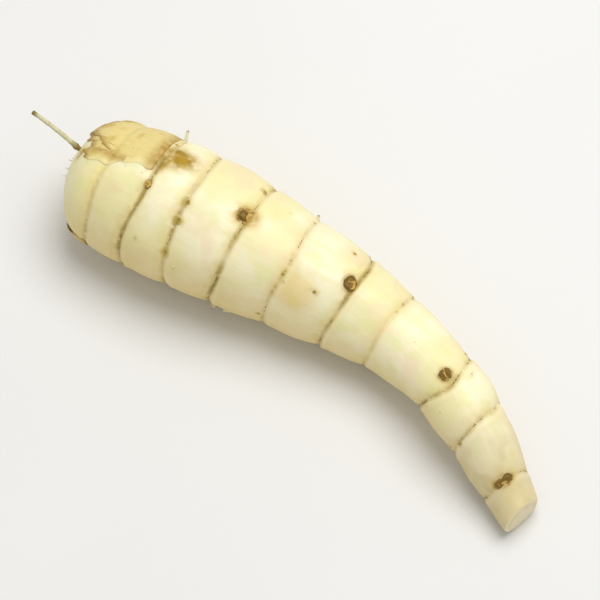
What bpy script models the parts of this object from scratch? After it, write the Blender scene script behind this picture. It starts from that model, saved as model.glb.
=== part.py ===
"""An arrowroot tuber lying on its side, as it comes to rest on a table.

The tuber grew as one piece, so it is one closed solid: a ringed body with a blunt crown and a cut tip,
and, joined to it, its eyes, the leaf-scale remains round the crown and its broken rootlets.
+X runs from the crown to the tip and Z is up. The underside rests on z = 0, and x and y are measured
from the middle of the tuber's box.
"""

import math

import bmesh
import bpy
import numpy as np
from mathutils import Matrix, Vector

MM = 0.001

# Places along the body are measured from the crown's end, along the middle of the body.
LENGTH = 174 * MM
PROFILE = (  # place, radius
    (0 * MM, 17.6 * MM),
    (15.5 * MM, 18.8 * MM),
    (35 * MM, 19.6 * MM),
    (53 * MM, 18.9 * MM),
    (72 * MM, 16.8 * MM),
    (88 * MM, 15.2 * MM),
    (103 * MM, 12.8 * MM),
    (121 * MM, 10.5 * MM),
    (140 * MM, 10.0 * MM),
    (159 * MM, 7.9 * MM),
    (174 * MM, 6.5 * MM),
)
OVAL, LOBED = 0.022, 0.012  # how far the section departs from a circle, as shares of its radius
OVAL_TWIST, LOBED_TWIST = 14.0, 31.0  # radians of turn to a metre of body

# The bend of the body, seen from above, and the lift of its tail between the belly and the tip.
CROWN_HEADING, TIP_HEADING = math.radians(11.5), math.radians(-23)
BEND_FROM, BEND_TO = 70 * MM, 163 * MM
TAIL_FROM, TAIL_LIFT = 62 * MM, 5.8 * MM
TAIL_PEAK = 1.7  # over 1, the lift is highest nearer the tip
REST_DEPTH = 0.45 * MM  # what the flat resting spots take off the round underside
BELLY_TO, TIP_REST_FROM = 78 * MM, 157 * MM

# Each ring: its place, how far it leans along the body, and the side that leans to the tip.
# Angles round the body start level at its left and go over its top.
RINGS = (
    (14.6 * MM, 0.7 * MM, math.radians(30)),
    (27.4 * MM, 1.7 * MM, math.radians(40)),
    (40.6 * MM, 0.7 * MM, math.radians(275)),
    (56.4 * MM, 1.0 * MM, math.radians(20)),
    (72.6 * MM, 0.8 * MM, math.radians(60)),
    (90.8 * MM, 2.2 * MM, math.radians(97)),
    (106.7 * MM, 1.3 * MM, math.radians(118)),
    (129.6 * MM, 5.3 * MM, math.radians(109)),
    (146.6 * MM, 2.6 * MM, math.radians(201)),
    (164.6 * MM, 1.4 * MM, math.radians(225)),
)
RING_WAVE = 0.3 * MM
RING_WAVES = ((3, 2.1, 1.0), (5, 4.3, 0.6))  # waves round the body, turn from ring to ring, share of height
GROOVE_DEPTH, GROOVE_WIDTH = 0.45 * MM, 0.9 * MM
RIDGE_HEIGHT, RIDGE_WIDTH, RIDGE_OFFSET = 0.3 * MM, 1.0 * MM, 1.5 * MM
SWELL = 0.4 * MM  # how far the body swells between two rings

CROWN_CAP = 14 * MM  # how far from its end the crown rounds off
CROWN_BLUNTNESS = 2.1
STALK_SCAR, STALK_DEPTH = 6.5 * MM, 1.6 * MM
CUT_SLANT, CUT_SIDE = 2.0 * MM, math.radians(195)
CUT_EDGE, CUT_DOME = 0.8 * MM, 0.5 * MM
CUT_EDGE_ROWS = ((0.0, 0.0), (0.45, 0.75), (1.0, 1.0))  # inward and outward, as shares of the edge
CUT_DOME_ROW = (0.55, 0.7)  # the radius of a row on the dome, and its height, as shares of the dome's

SECTORS = 36
ROWS_BETWEEN_RINGS = (0.0, 0.045, 0.09, 0.26, 0.5, 0.74, 0.93)
CROWN_ROWS = (0.015, 0.05, 0.12, 0.24, 0.42, 0.66, 0.9)

# Eyes sit just on the crown's side of a ring, on top and then below: ring, angle, width.
EYES = (
    (1, math.radians(101), 2.8 * MM),
    (2, math.radians(236), 4.0 * MM),
    (3, math.radians(88), 5.2 * MM),
    (4, math.radians(306), 4.6 * MM),
    (5, math.radians(90), 5.0 * MM),
    (6, math.radians(242), 4.2 * MM),
    (7, math.radians(97), 4.6 * MM),
    (8, math.radians(318), 3.4 * MM),
    (9, math.radians(102), 4.4 * MM),
)
EYE_BACK = 1.6 * MM
EYE_HEIGHT, EYE_DEPTH = 0.6 * MM, 1.4 * MM  # above the skin, and sunk in it
EYE_LENGTH = 0.72  # of its width

# Rootlets: place, angle round the body, length, thickness, lean to the crown, sideways curl.
ROOTLETS = (
    (6.8 * MM, math.radians(92), 17.0 * MM, 1.4 * MM, 1.6, 0.10),
    (27.0 * MM, math.radians(8), 4.5 * MM, 1.3 * MM, 0.25, -0.30),
    (41.0 * MM, math.radians(345), 3.0 * MM, 1.4 * MM, -0.30, 0.20),
    (57.0 * MM, math.radians(214), 1.8 * MM, 1.5 * MM, 0.20, 0.30),
    (73.0 * MM, math.radians(10), 2.2 * MM, 1.3 * MM, 0.35, 0.15),
    (91.0 * MM, math.radians(352), 1.7 * MM, 1.4 * MM, -0.20, 0.20),
)
ROOTLET_SUNK = 2.5 * MM
ROOTLET_SIDES, ROOTLET_STEPS = 6, 6
ROOTLET_END = 0.62  # of its thickness at the base
ROOTLET_DROOP = 0.3  # how far it curls along the body, as a share of its sideways curl

# Leaf-scale remains: place of the root, middle angle, half width in angle, length, rise at the end.
SCALES = (
    (27.5 * MM, math.radians(57), math.radians(40), 21.0 * MM, 0.8 * MM),
    (14.5 * MM, math.radians(352), math.radians(26), 11.0 * MM, 1.5 * MM),
    (14.0 * MM, math.radians(312), math.radians(17), 9.0 * MM, 0.9 * MM),
    (13.5 * MM, math.radians(205), math.radians(18), 8.0 * MM, 0.7 * MM),
)
SCALE_EDGE, SCALE_SUNK = 0.35 * MM, 1.4 * MM  # what stands out at the root, and what is in the body
SCALE_COLUMNS, SCALE_ROWS = 9, 4
SCALE_TEETH = (0.9, 0.72, 0.98, 0.8, 1.06, 0.78, 0.97, 0.74, 0.9)
SCALE_ROUNDING = 0.15  # how much shorter it is at its sides

SKIN_COLOUR = (0.84, 0.76, 0.50, 1.0)
SKIN_ROUGHNESS = 0.5
SHARP_ANGLE = math.radians(50)


def clear_scene():
    for thing in list(bpy.data.objects):
        bpy.data.objects.remove(thing, do_unlink=True)


def smooth_step(value):
    value = np.clip(value, 0.0, 1.0)
    return value * value * (3 - 2 * value)


def smooth_through(points, place):
    """The height at a place of a smooth curve through (place, height) pairs."""
    places, heights = np.array(points).T
    slopes = np.gradient(heights, places)
    part = np.clip(np.searchsorted(places, place) - 1, 0, len(places) - 2)
    width = places[part + 1] - places[part]
    t = (place - places[part]) / width
    start = heights[part] * (1 + 2 * t) * (1 - t) ** 2 + slopes[part] * width * t * (1 - t) ** 2
    end = heights[part + 1] * t * t * (3 - 2 * t) + slopes[part + 1] * width * t * t * (t - 1)
    return start + end


def heading(place):
    turned = smooth_step((place - BEND_FROM) / (BEND_TO - BEND_FROM))
    return CROWN_HEADING + (TIP_HEADING - CROWN_HEADING) * turned


def tail_lift(place):
    along = np.clip((place - TAIL_FROM) / (LENGTH - TAIL_FROM), 0.0, 1.0)
    return TAIL_LIFT * np.sin(math.pi * along**TAIL_PEAK) ** 2


def axis_height(place):
    return smooth_through(PROFILE, place) + tail_lift(place)


def spine_table(steps=800, overrun=6 * MM):
    """Places along the body with the middle's points there, by adding up short steps."""
    places = np.linspace(-overrun, LENGTH + overrun, steps)
    middle = (places[1:] + places[:-1]) / 2
    step = np.diff(places)
    rise = np.diff(axis_height(places))
    flat = np.sqrt(np.maximum(step**2 - rise**2, 0.0))
    x = np.concatenate([[0.0], np.cumsum(flat * np.cos(heading(middle)))])
    y = np.concatenate([[0.0], np.cumsum(flat * np.sin(heading(middle)))])
    return places, np.stack([x, y, axis_height(places)], axis=1)


SPINE_PLACES, SPINE_POINTS = spine_table()


def spine_point(place):
    return np.stack([np.interp(place, SPINE_PLACES, SPINE_POINTS[:, i]) for i in range(3)], axis=-1)


def spine_axes(place, reach=0.5 * MM):
    """The direction along the body, the level direction to its left, and the one over it."""
    along = spine_point(place + reach) - spine_point(place - reach)
    along /= np.linalg.norm(along, axis=-1, keepdims=True)
    side = np.cross([0.0, 0.0, 1.0], along)
    side /= np.linalg.norm(side, axis=-1, keepdims=True)
    return along, side, np.cross(along, side)


def ring_place(ring, angle):
    """Where ring number `ring` crosses the given angle. The last one is the rim of the cut tip."""
    if ring < 0:
        return np.zeros_like(angle)
    if ring >= len(RINGS):
        return LENGTH + CUT_SLANT * np.cos(angle - CUT_SIDE)
    place, lean, side = RINGS[ring]
    wave = sum(share * np.sin(count * angle + turn * ring) for count, turn, share in RING_WAVES)
    return place + lean * np.cos(angle - side) + RING_WAVE * wave


def ring_relief(distance):
    """The groove at a ring and the low ridge on its tip side, by distance past the ring."""
    groove = GROOVE_DEPTH * np.exp(-((distance / GROOVE_WIDTH) ** 2))
    ridge = RIDGE_HEIGHT * np.exp(-(((distance - RIDGE_OFFSET) / RIDGE_WIDTH) ** 2))
    return ridge - groove


def crown_cap(place):
    """How much of the body's radius is left near the crown's blunt end."""
    inward = np.clip(1 - place / CROWN_CAP, 0.0, 1.0)
    return (1 - inward**CROWN_BLUNTNESS) ** (1 / CROWN_BLUNTNESS)


def section(place, angle):
    """The lumpy outline of a cut across the body, as a share of its radius."""
    oval = OVAL * np.cos(2 * (angle - OVAL_TWIST * place))
    lobed = LOBED * np.cos(3 * (angle + LOBED_TWIST * place))
    return 1 + oval + lobed


def skin_radius(place, angle, before, after):
    """The radius of the skin between two rings, whose places at this angle are given."""
    share = np.clip((place - before) / (after - before), 0.0, 1.0)
    relief = SWELL * np.sin(math.pi * share) + ring_relief(place - before) + ring_relief(place - after)
    plain = smooth_through(PROFILE, np.maximum(place, 0.0)) * section(place, angle)
    return (plain + relief) * crown_cap(place)


def surface_point(place, angle, radius):
    along, side, over = spine_axes(place)
    outward = side * np.cos(angle)[..., None] + over * np.sin(angle)[..., None]
    return spine_point(place) + outward * np.asarray(radius)[..., None]


def row_between_rings(ring, share, angle):
    before, after = ring_place(ring, angle), ring_place(ring + 1, angle)
    place = before + (after - before) * share
    radius = skin_radius(place, angle, before, after)
    if ring < 0:
        scar = np.clip(1 - (radius / STALK_SCAR) ** 2, 0.0, 1.0)
        place = place + STALK_DEPTH * scar
    return surface_point(place, angle, radius)


def cut_rows(angle):
    """The rounded edge and the low dome of the slanted cut that ends the tip."""
    rim = ring_place(len(RINGS), angle)
    before = ring_place(len(RINGS) - 1, angle)
    radius = skin_radius(rim, angle, before, rim + RIDGE_OFFSET)
    rows = []
    for inward, out in CUT_EDGE_ROWS:
        rows.append((radius - CUT_EDGE * inward, CUT_EDGE * out))
    share, height = CUT_DOME_ROW
    rows.append(((radius - CUT_EDGE) * share, CUT_EDGE + CUT_DOME * height))
    slant = rim - LENGTH
    return [surface_point(LENGTH + slant * r / radius + out, angle, r) for r, out in rows]


def body_rows():
    angle = np.arange(SECTORS) * 2 * math.pi / SECTORS
    rows = [row_between_rings(-1, share, angle) for share in CROWN_ROWS]
    for ring in range(len(RINGS)):
        rows += [row_between_rings(ring, share, angle) for share in ROWS_BETWEEN_RINGS]
    return rows + cut_rows(angle)


def settle_spine():
    """Lowers the middle so that belly and tip reach just under z = 0 together."""
    rows = np.array(body_rows())
    place = np.interp(rows[..., 0].mean(axis=1), SPINE_POINTS[:, 0], SPINE_PLACES)
    lowest = rows[..., 2].min(axis=1)
    belly, tip = lowest[place < BELLY_TO].min(), lowest[place > TIP_REST_FROM].min()
    share = np.clip((SPINE_PLACES - BELLY_TO) / (TIP_REST_FROM - BELLY_TO), 0.0, 1.0)
    SPINE_POINTS[:, 2] -= belly + (tip - belly) * share + REST_DEPTH


def flattened(rows):
    """The rows with the spots that the body rests on made flat."""
    rows = np.array(rows)
    rows[..., 2] = np.maximum(rows[..., 2], 0.0)
    return rows


def closed_tube(rows, name):
    """An object with one ring of points to a row, closed at both ends on a middle point."""
    mesh = bmesh.new()
    rings = [[mesh.verts.new(point) for point in row] for row in rows]
    count = len(rings[0])
    for ring, following in zip(rings, rings[1:]):
        for i in range(count):
            j = (i + 1) % count
            mesh.faces.new((ring[i], ring[j], following[j], following[i]))
    for ring in (rings[0], rings[-1]):
        middle = mesh.verts.new(sum((vert.co for vert in ring), Vector()) / count)
        for i in range(count):
            mesh.faces.new((ring[i], middle, ring[(i + 1) % count]))
    return finished_object(mesh, name)


def finished_object(mesh, name):
    bmesh.ops.recalc_face_normals(mesh, faces=mesh.faces)
    bmesh.ops.triangulate(mesh, faces=mesh.faces)
    data = bpy.data.meshes.new(name)
    mesh.to_mesh(data)
    mesh.free()
    thing = bpy.data.objects.new(name, data)
    bpy.context.scene.collection.objects.link(thing)
    return thing


def skin_frame(place, angle):
    """A point of the skin, with the directions along the body, round it and outwards there."""
    angle = np.array([float(angle)])
    place = np.array([float(place)])
    ring = sum(1 for number in range(len(RINGS)) if ring_place(number, angle)[0] <= place[0]) - 1
    radius = skin_radius(place, angle, ring_place(ring, angle), ring_place(ring + 1, angle))
    point = surface_point(place, angle, radius)[0]
    along, side, over = (axis[0] for axis in spine_axes(place))
    outward = side * math.cos(angle[0]) + over * math.sin(angle[0])
    return point, along, np.cross(along, outward), outward


def eye(number, ring, angle, width):
    place = ring_place(ring, np.array([angle]))[0] - EYE_BACK
    point, along, round_it, outward = skin_frame(place, angle)
    mesh = bmesh.new()
    bmesh.ops.create_icosphere(mesh, subdivisions=2, radius=1.0)
    size = Matrix.Diagonal((width / 2 * EYE_LENGTH, width / 2, (EYE_HEIGHT + EYE_DEPTH) / 2, 1))
    turn = Matrix((along, round_it, outward)).transposed().to_4x4()
    middle = point + outward * (EYE_HEIGHT - EYE_DEPTH) / 2
    mesh.transform(Matrix.Translation(middle) @ turn @ size)
    return finished_object(mesh, f"eye_{number}")


def rootlet(number, place, angle, length, thickness, lean, curl):
    point, along, round_it, outward = skin_frame(place, angle)
    away = outward - along * lean
    away /= np.linalg.norm(away)
    root = point - outward * ROOTLET_SUNK
    turns = np.arange(ROOTLET_SIDES) * 2 * math.pi / ROOTLET_SIDES
    across = np.cross(away, round_it)
    rows = []
    for step in range(ROOTLET_STEPS + 1):
        share = step / ROOTLET_STEPS
        middle = root + away * (length + ROOTLET_SUNK) * share
        middle = middle + (round_it + ROOTLET_DROOP * across) * curl * length * share**2
        radius = thickness / 2 * (1 + (ROOTLET_END - 1) * share)
        rows.append([middle + radius * (round_it * math.cos(t) + across * math.sin(t)) for t in turns])
    return closed_tube(rows, f"rootlet_{number}")


def scale_sheet(place, middle, half_width, length, rise, sunk):
    """Points of a scale's outer face, or of its inner face where it is sunk in the body."""
    sheet = []
    for row in range(SCALE_ROWS + 1):
        share = row / SCALE_ROWS
        line = []
        for column in range(SCALE_COLUMNS):
            spread = 2 * column / (SCALE_COLUMNS - 1) - 1
            reach = length * share * SCALE_TEETH[column] * (1 - SCALE_ROUNDING * spread**2)
            angle = middle + half_width * spread
            point, along, round_it, outward = skin_frame(place - reach, angle)
            lift = -SCALE_SUNK if sunk else SCALE_EDGE + (rise - SCALE_EDGE) * share
            line.append(point + outward * lift)
        sheet.append(line)
    return sheet


def leaf_scale(number, place, middle, half_width, length, rise):
    """A torn leaf scale: its outer sheet of points and one in the body, joined round their edge."""
    mesh = bmesh.new()
    sheets = []
    for sunk in (False, True):
        points = scale_sheet(place, middle, half_width, length, rise, sunk)
        sheets.append([[mesh.verts.new(point) for point in line] for line in points])
    for sheet in sheets:
        for line, following in zip(sheet, sheet[1:]):
            for i in range(SCALE_COLUMNS - 1):
                mesh.faces.new((line[i], line[i + 1], following[i + 1], following[i]))
    rims = [sheet_rim(sheet) for sheet in sheets]
    for i in range(len(rims[0])):
        j = (i + 1) % len(rims[0])
        mesh.faces.new((rims[0][i], rims[0][j], rims[1][j], rims[1][i]))
    return finished_object(mesh, f"scale_{number}")


def sheet_rim(sheet):
    right = [line[-1] for line in sheet[1:-1]]
    left = [line[0] for line in sheet[1:-1]]
    return sheet[0] + right + sheet[-1][::-1] + left[::-1]


def join_growths(body, growths):
    """Joins what grows on the body to it, by one union on a collection."""
    group = bpy.data.collections.new("growths")
    for thing in growths:
        group.objects.link(thing)
    union = body.modifiers.new("growths", "BOOLEAN")
    union.operation = "UNION"
    union.operand_type = "COLLECTION"
    union.collection = group
    union.solver = "EXACT"
    whole = bpy.data.meshes.new_from_object(body.evaluated_get(bpy.context.evaluated_depsgraph_get()))
    body.modifiers.clear()
    body.data = whole
    for thing in growths:
        bpy.data.objects.remove(thing, do_unlink=True)
    bpy.data.collections.remove(group)


def centre_on_origin(body):
    """Moves the mesh so that the middle of its box stands over the origin."""
    points = [vert.co for vert in body.data.vertices]
    for axis in (0, 1):
        values = [point[axis] for point in points]
        middle = (min(values) + max(values)) / 2
        for point in points:
            point[axis] -= middle


def skin_material():
    material = bpy.data.materials.new("tuber_skin")
    material.use_nodes = True
    shader = material.node_tree.nodes["Principled BSDF"]
    shader.inputs["Base Color"].default_value = SKIN_COLOUR
    shader.inputs["Roughness"].default_value = SKIN_ROUGHNESS
    shader.inputs["Metallic"].default_value = 0.0
    return material


def make_tuber():
    settle_spine()
    body = closed_tube(flattened(body_rows()), "tuber")
    growths = [eye(number, *sizes) for number, sizes in enumerate(EYES)]
    growths += [rootlet(number, *sizes) for number, sizes in enumerate(ROOTLETS)]
    growths += [leaf_scale(number, *sizes) for number, sizes in enumerate(SCALES)]
    bpy.context.view_layer.update()
    join_growths(body, growths)
    centre_on_origin(body)
    body.data.shade_smooth()
    body.data.set_sharp_from_angle(angle=SHARP_ANGLE)
    body.data.materials.clear()
    body.data.materials.append(skin_material())
    return body


clear_scene()
make_tuber()
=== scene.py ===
"""An arrowroot tuber lying on its side: a ringed body, scaly eyes, torn leaf scales and rootlets.

Laid out as a Blender add-on and run as a script. Places along the body are measured from the
crown's end, along its middle. Angles round it start level at its left and go over its top. +X runs
from the crown to the cut tip, and Z is up.
"""

import math

import bpy
import numpy as np
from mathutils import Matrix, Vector
from mathutils.bvhtree import BVHTree


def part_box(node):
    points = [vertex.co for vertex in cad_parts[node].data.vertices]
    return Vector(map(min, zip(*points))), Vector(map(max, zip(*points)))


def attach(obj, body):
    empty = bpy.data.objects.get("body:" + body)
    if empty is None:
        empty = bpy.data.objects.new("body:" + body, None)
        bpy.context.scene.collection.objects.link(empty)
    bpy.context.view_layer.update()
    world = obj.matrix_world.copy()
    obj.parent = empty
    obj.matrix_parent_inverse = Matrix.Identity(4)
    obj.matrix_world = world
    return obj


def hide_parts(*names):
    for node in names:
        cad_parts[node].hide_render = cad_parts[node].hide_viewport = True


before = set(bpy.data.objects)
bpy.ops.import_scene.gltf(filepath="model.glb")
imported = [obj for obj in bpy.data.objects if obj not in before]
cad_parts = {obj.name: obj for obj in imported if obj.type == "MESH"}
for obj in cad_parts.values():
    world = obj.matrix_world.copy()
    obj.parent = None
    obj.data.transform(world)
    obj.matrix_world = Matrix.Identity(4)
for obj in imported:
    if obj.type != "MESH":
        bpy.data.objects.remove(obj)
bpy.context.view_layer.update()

bl_info = {
    "name": "Arrowroot Tuber",
    "version": (1, 0, 0),
    "blender": (4, 5, 0),
    "location": "3D View > Sidebar > Tuber",
    "description": "Grows an arrowroot tuber round its solid, with skin, eyes, scales and rootlets",
    "category": "Add Mesh",
}

MM = 0.001
NODE, BODY, SLOT = "tuber", "root", "skin"


def measured(units, *rows):
    """Rows in metres and radians. Each column is given in mm, in deg or, marked -, as it stays."""
    convert = {"mm": lambda value: value * MM, "deg": math.radians, "-": lambda value: value}
    columns = [convert[unit] for unit in units.split()]
    return tuple(tuple(column(value) for column, value in zip(columns, row)) for row in rows)


# The form, as the solid has it.
LENGTH = 174 * MM
PROFILE = measured(  # place, radius
    "mm mm", (0, 17.6), (15.5, 18.8), (35, 19.6), (53, 18.9), (72, 16.8), (88, 15.2),
    (103, 12.8), (121, 10.5), (140, 10.0), (159, 7.9), (174, 6.5),
)
OVAL, LOBED = 0.022, 0.012  # how far the section strays from round, as shares of its radius
OVAL_TWIST, LOBED_TWIST = 14.0, 31.0  # how far both turn along the body, in radians per metre
CROWN_HEADING, TIP_HEADING = math.radians(11.5), math.radians(-23)
BEND_FROM, BEND_TO = 70 * MM, 163 * MM
TAIL_FROM, TAIL_LIFT, TAIL_PEAK = 62 * MM, 5.8 * MM, 1.7  # the arch that the tail stands on
REST_DEPTH = 0.45 * MM  # how much of the belly and the tip is flattened where they lie
BELLY_TO, TIP_REST_FROM = 78 * MM, 157 * MM
RINGS = measured(  # place, lean, the side that leans to the tip
    "mm mm deg",
    (14.6, 0.7, 30), (27.4, 1.7, 40), (40.6, 0.7, 275), (56.4, 1.0, 20), (72.6, 0.8, 60),
    (90.8, 2.2, 97), (106.7, 1.3, 118), (129.6, 5.3, 109), (146.6, 2.6, 201), (164.6, 1.4, 225),
)
RING_WAVE = 0.3 * MM  # how far a ring strays along the body
RING_WAVES = ((3, 2.1, 1.0), (5, 4.3, 0.6))  # waves round the body, turn from ring to ring, share
GROOVE_DEPTH, GROOVE_WIDTH = 0.45 * MM, 0.9 * MM
RIDGE_HEIGHT, RIDGE_WIDTH, RIDGE_OFFSET = 0.3 * MM, 1.0 * MM, 1.5 * MM
SWELL = 0.4 * MM  # how far the skin swells between two rings
CROWN_CAP, CROWN_BLUNTNESS = 14 * MM, 2.1  # the rounded end's length, and how square it is
STALK_SCAR, STALK_DEPTH = 6.5 * MM, 1.6 * MM  # the radius and depth of the stalk's scar
CUT_SLANT, CUT_SIDE = 2.0 * MM, math.radians(195)  # the cut's slant, and its furthest side
CUT_EDGE, CUT_DOME = 0.8 * MM, 0.5 * MM  # its rounded edge, and how far its middle bulges
ROOTLETS = measured(  # place, angle, length, thickness, lean to the crown, sideways curl
    "mm deg mm mm - -",
    (27.0, 8, 4.5, 1.3, 0.25, -0.30),
    (41.0, 345, 3.0, 1.4, -0.30, 0.20),
    (57.0, 214, 1.8, 1.5, 0.20, 0.30),
    (73.0, 10, 2.2, 1.3, 0.35, 0.15),
    (91.0, 352, 1.7, 1.4, -0.20, 0.20),
)
ROOTLET_SUNK, ROOTLET_END, ROOTLET_DROOP = 2.5 * MM, 0.62, 0.3

# What the solid has more plainly.
RING_DEPTHS = (0.4, 1.0, 0.95, 1.0, 0.45, 1.0, 0.5, 0.85, 0.6, 0.4)  # how deep each ring is cut
RING_MARKS = (0.3, 1.0, 0.9, 1.0, 0.3, 0.85, 0.25, 0.65, 0.35, 0.45)  # how brown each ring is
PLUMPNESS = 0.3 * MM  # how much further the skin swells between two rings
TIP_SWELL = 0.05 * MM  # how far the cut stretch at the tip swells
MARK_LEVEL = 0.75  # a ring's brown, before waves round the body: how many, their turn and height
MARK_WAVES = ((2, 1.9, 0.30), (5, 3.1, 0.22), (9, 0.7, 0.16))
MARK_GAPS = measured(  # ring, middle angle, reach, how far its brown fades there
    "- deg deg -", (2, 62, 36, 0.8), (3, 62, 24, 0.7), (9, 60, 30, 0.5),
)
ROW_CROWDING = 0.85  # how far rows of points draw in to the rings
DASH_SHARE, SHRED_SHARE = 1.3, 0.8  # how much of a rim and its fringe is left where it is brown
DASH_STEP, DASH_SUNK = 0.03, 0.36  # the angle between points, the share of the width in the skin
SHRED_THICKNESS = 0.35  # as a share of a shred's own height
EYES = measured(  # ring, angle, how far back from the ring, length, width, turn, glow, look
    "- deg mm mm mm - - -",
    (1, 101, 0.0, 2.4, 2.8, 0.2, 0.25, "closed"),
    (2, 236, 1.5, 3.6, 4.2, -0.2, 0.7, "hooded"),
    (3, 87, 0.7, 6.2, 5.0, 0.15, 1.0, "hooded"),
    (4, 306, 1.6, 3.8, 4.6, 0.3, 0.6, "ringed"),
    (5, 91, 1.5, 4.4, 4.9, 0.1, 0.6, "ringed"),
    (6, 242, 1.6, 3.2, 4.2, 0.4, 0.6, "striped"),
    (7, 97, 2.9, 4.2, 4.2, 1.2, 0.45, "striped"),
    (8, 318, 1.6, 2.8, 3.4, 0.0, 0.5, "hooded"),
    (9, 101, 0.0, 3.6, 5.8, 0.0, 0.4, "folded"),
)
EYE_LOOKS = {  # overlapping bud scales: x to the crown, y, half length, half width, rise, tone
    "ringed": (
        (0.06, 0.00, 0.86, 0.90, 0.40, 0.16), (-0.26, 0.14, 0.48, 0.66, 0.12, 0.74),
        (-0.12, 0.24, 0.26, 0.36, 0.20, 0.30), (0.40, -0.22, 0.30, 0.36, 0.16, 0.40),
    ),
    "hooded": (
        (0.36, 0.00, 0.50, 0.62, 0.70, 0.08), (0.44, 0.06, 0.26, 0.32, 0.20, 0.26),
        (-0.28, 0.02, 0.42, 0.56, 0.28, 0.92), (-0.78, 0.00, 0.17, 0.50, 0.25, 0.10),
    ),
    "closed": ((0.00, 0.00, 0.85, 0.85, 0.40, 0.85), (0.20, 0.05, 0.50, 0.52, 0.30, 0.62)),
    "folded": (
        (0.10, -0.42, 0.62, 0.50, 0.45, 0.10), (-0.10, 0.40, 0.60, 0.46, 0.40, 0.16),
        (-0.35, 0.02, 0.30, 0.30, 0.20, 0.75),
    ),
    "striped": (
        (0.44, 0.00, 0.38, 0.78, 0.45, 0.08), (0.00, 0.05, 0.20, 0.62, 0.20, 0.80),
        (-0.44, -0.05, 0.36, 0.74, 0.40, 0.12),
    ),
}
BUD_DOME, BUD_SCALE_EDGE = 0.22, 0.22  # how round a bud is, and how soft its scales' edges are
BUD_RAYS, BUD_RAY_TWIST, BUD_RAY_HEIGHT, BUD_RAY_TONE = 13, 7, 0.03, 0.08  # its wrinkles
RIM_SUNK = -0.8  # how far the rim of an eye or a scar is sunk, against its height
CUSHION_HEIGHT, CUSHION_REACH = 0.32 * MM, 0.85  # the skin swells round an eye, within its width
ROOT_SCARS = measured(  # place, angle, width
    "mm deg mm",
    (40.4, 100, 2.2), (40.4, 118, 2.4), (40.2, 150, 2.0), (56.4, 52, 1.9),
    (87.5, 56, 1.2), (73.1, 118, 0.9), (84.1, 119, 1.3), (148.3, 146, 1.3),
)
SCAR_SIDES = (175, 410)  # the angles that the other scars are at, in degrees
ROOT_HAIR = measured("mm deg mm mm - -", (3.5, 84, 17.0, 1.5, 1.2, 0.10))[0]  # as a rootlet
ROOT_HAIR_END, ROOTLET_FOOT, STALK_FIBRES_REACH = 0.85, 0.35, 0.92
SCALES = measured(  # root's place, middle angle, half width, length, end's rise, flare, rounding
    "mm deg deg mm mm - -",
    (27.6, 55, 40, 24.0, 0.7, 0.45, 0.12),
    (19.0, 60, 30, 15.0, 0.9, 0.10, 0.80),
    (14.5, 352, 26, 11.0, 1.3, 0.20, 0.30),
    (14.0, 312, 17, 9.0, 0.8, 0.10, 0.50),
    (13.5, 205, 18, 8.0, 0.6, 0.10, 0.50),
)
SCALE_WHOLE = 0.94  # a scale's share of its length, before waves: how many, their turn and depth
SCALE_TEARS = ((2.3, 0.4, 0.045), (5.1, 1.7, 0.035), (11.0, 0.3, 0.025))
# The brown of a scale's root; at the largest scale it is partly painted shadow.
SCALE_ROOT_TONE = 4.5 * MM  # how far the brown of a scale's root goes
SCALE_GAP, SCALE_BULGE, SCALE_LAYER = 0.03 * MM, 0.07 * MM, 0.12 * MM  # its place over the skin
CRACK_SHADE = 1.0 * MM  # how faint the painted shade is along the crack between the two largest scales
LARGE_FLAKE = measured("mm deg mm", (61.7, 202, 3.6))[0]  # place, angle, length

# Where the skin's tones and its painted shade lie.
# The first two lie at the largest leaf scale's root and are partly painted shadow there.
LEAF_STAINS_AND_SHADOWS = measured(  # place, angle, reach along the body, reach round it, how strong it is
    "mm deg mm mm -",
    (31.4, 67, 7.4, 4.8, 1.0), (29.0, 77, 2.8, 3.4, 1.0), (4.6, 96, 1.7, 2.3, 0.8),
)
YELLOWING = measured("mm deg mm mm", (79.0, 130, 7.0, 7.0))[0]  # as a leaf stain, without strength
STAIN_AND_SHADE_BEFORE, STAIN_AND_SHADE_PAST, STAIN_AND_SHADE_PAST_SHARE = 1.7 * MM, 1.1 * MM, 0.7  # the olive beside a ring: partly its stain, partly painted shade
FADES = {  # where each tone has faded away, and over how far it fades
    # The flank's tone is painted shade low on the sides, and the stain at the largest scale's root
    # is partly painted shadow.
    "eye_glow": (2.1, 1.2), "smudge": (2.3, 1.6), "leaf_stain": (1.45, 1.1),
    "yellowing": (1.3, 1.0), "crown": (34 * MM, 28 * MM), "flank": (0.9, 1.2),
}
TIP_TONE_FROM, TIP_TONE_RISE = 136 * MM, 34 * MM

# What the seeds pick from, as the least and the most. Sizes are in mm, or are shares where a
# setting or a scale's own length gives the whole.
DASH_REACH, DASH_GAP = (0.08, 0.5), (0.02, 0.18)  # the angles of a rim's stretches and breaks
DASH_WIDTH, DASH_TONE = (0.5, 1.0), (0.1, 0.6)
SHRED_SHIFT, SHRED_LENGTH, SHRED_WIDTH = (-0.4, 0.4), (0.4, 1.0), (0.3, 0.8)
SCAR_OFFSET, SCAR_SPREAD = (0.2, 2.2), (0.6, 1.4)
STALK_FIBRE_LEAN, STALK_FIBRE_LENGTH, STALK_FIBRE_WIDTH = (-0.4, 0.7), (1.1, 2.1), (0.35, 0.7)
FIBRE_SIDE, FIBRE_START, FIBRE_REACH = (-0.85, 0.85), (0.6, 0.9), (1.5, 4.0)
FIBRE_STRAY, FIBRE_WIDTH = (-0.06, 0.06), (0.12, 0.24)
FLAKE_OFFSET, FLAKE_SPREAD = (0.4, 5), (0.5, 1.3)

LOWEST_POINT = 1.5 * MM  # scars, shreds and flakes stay off the strip that the tuber lies on
FLOOR_REACH = 3.0
LAMP_PLACE, LAMP_SIZE = (0.05, 0.35, 1.1), 0.9


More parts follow.
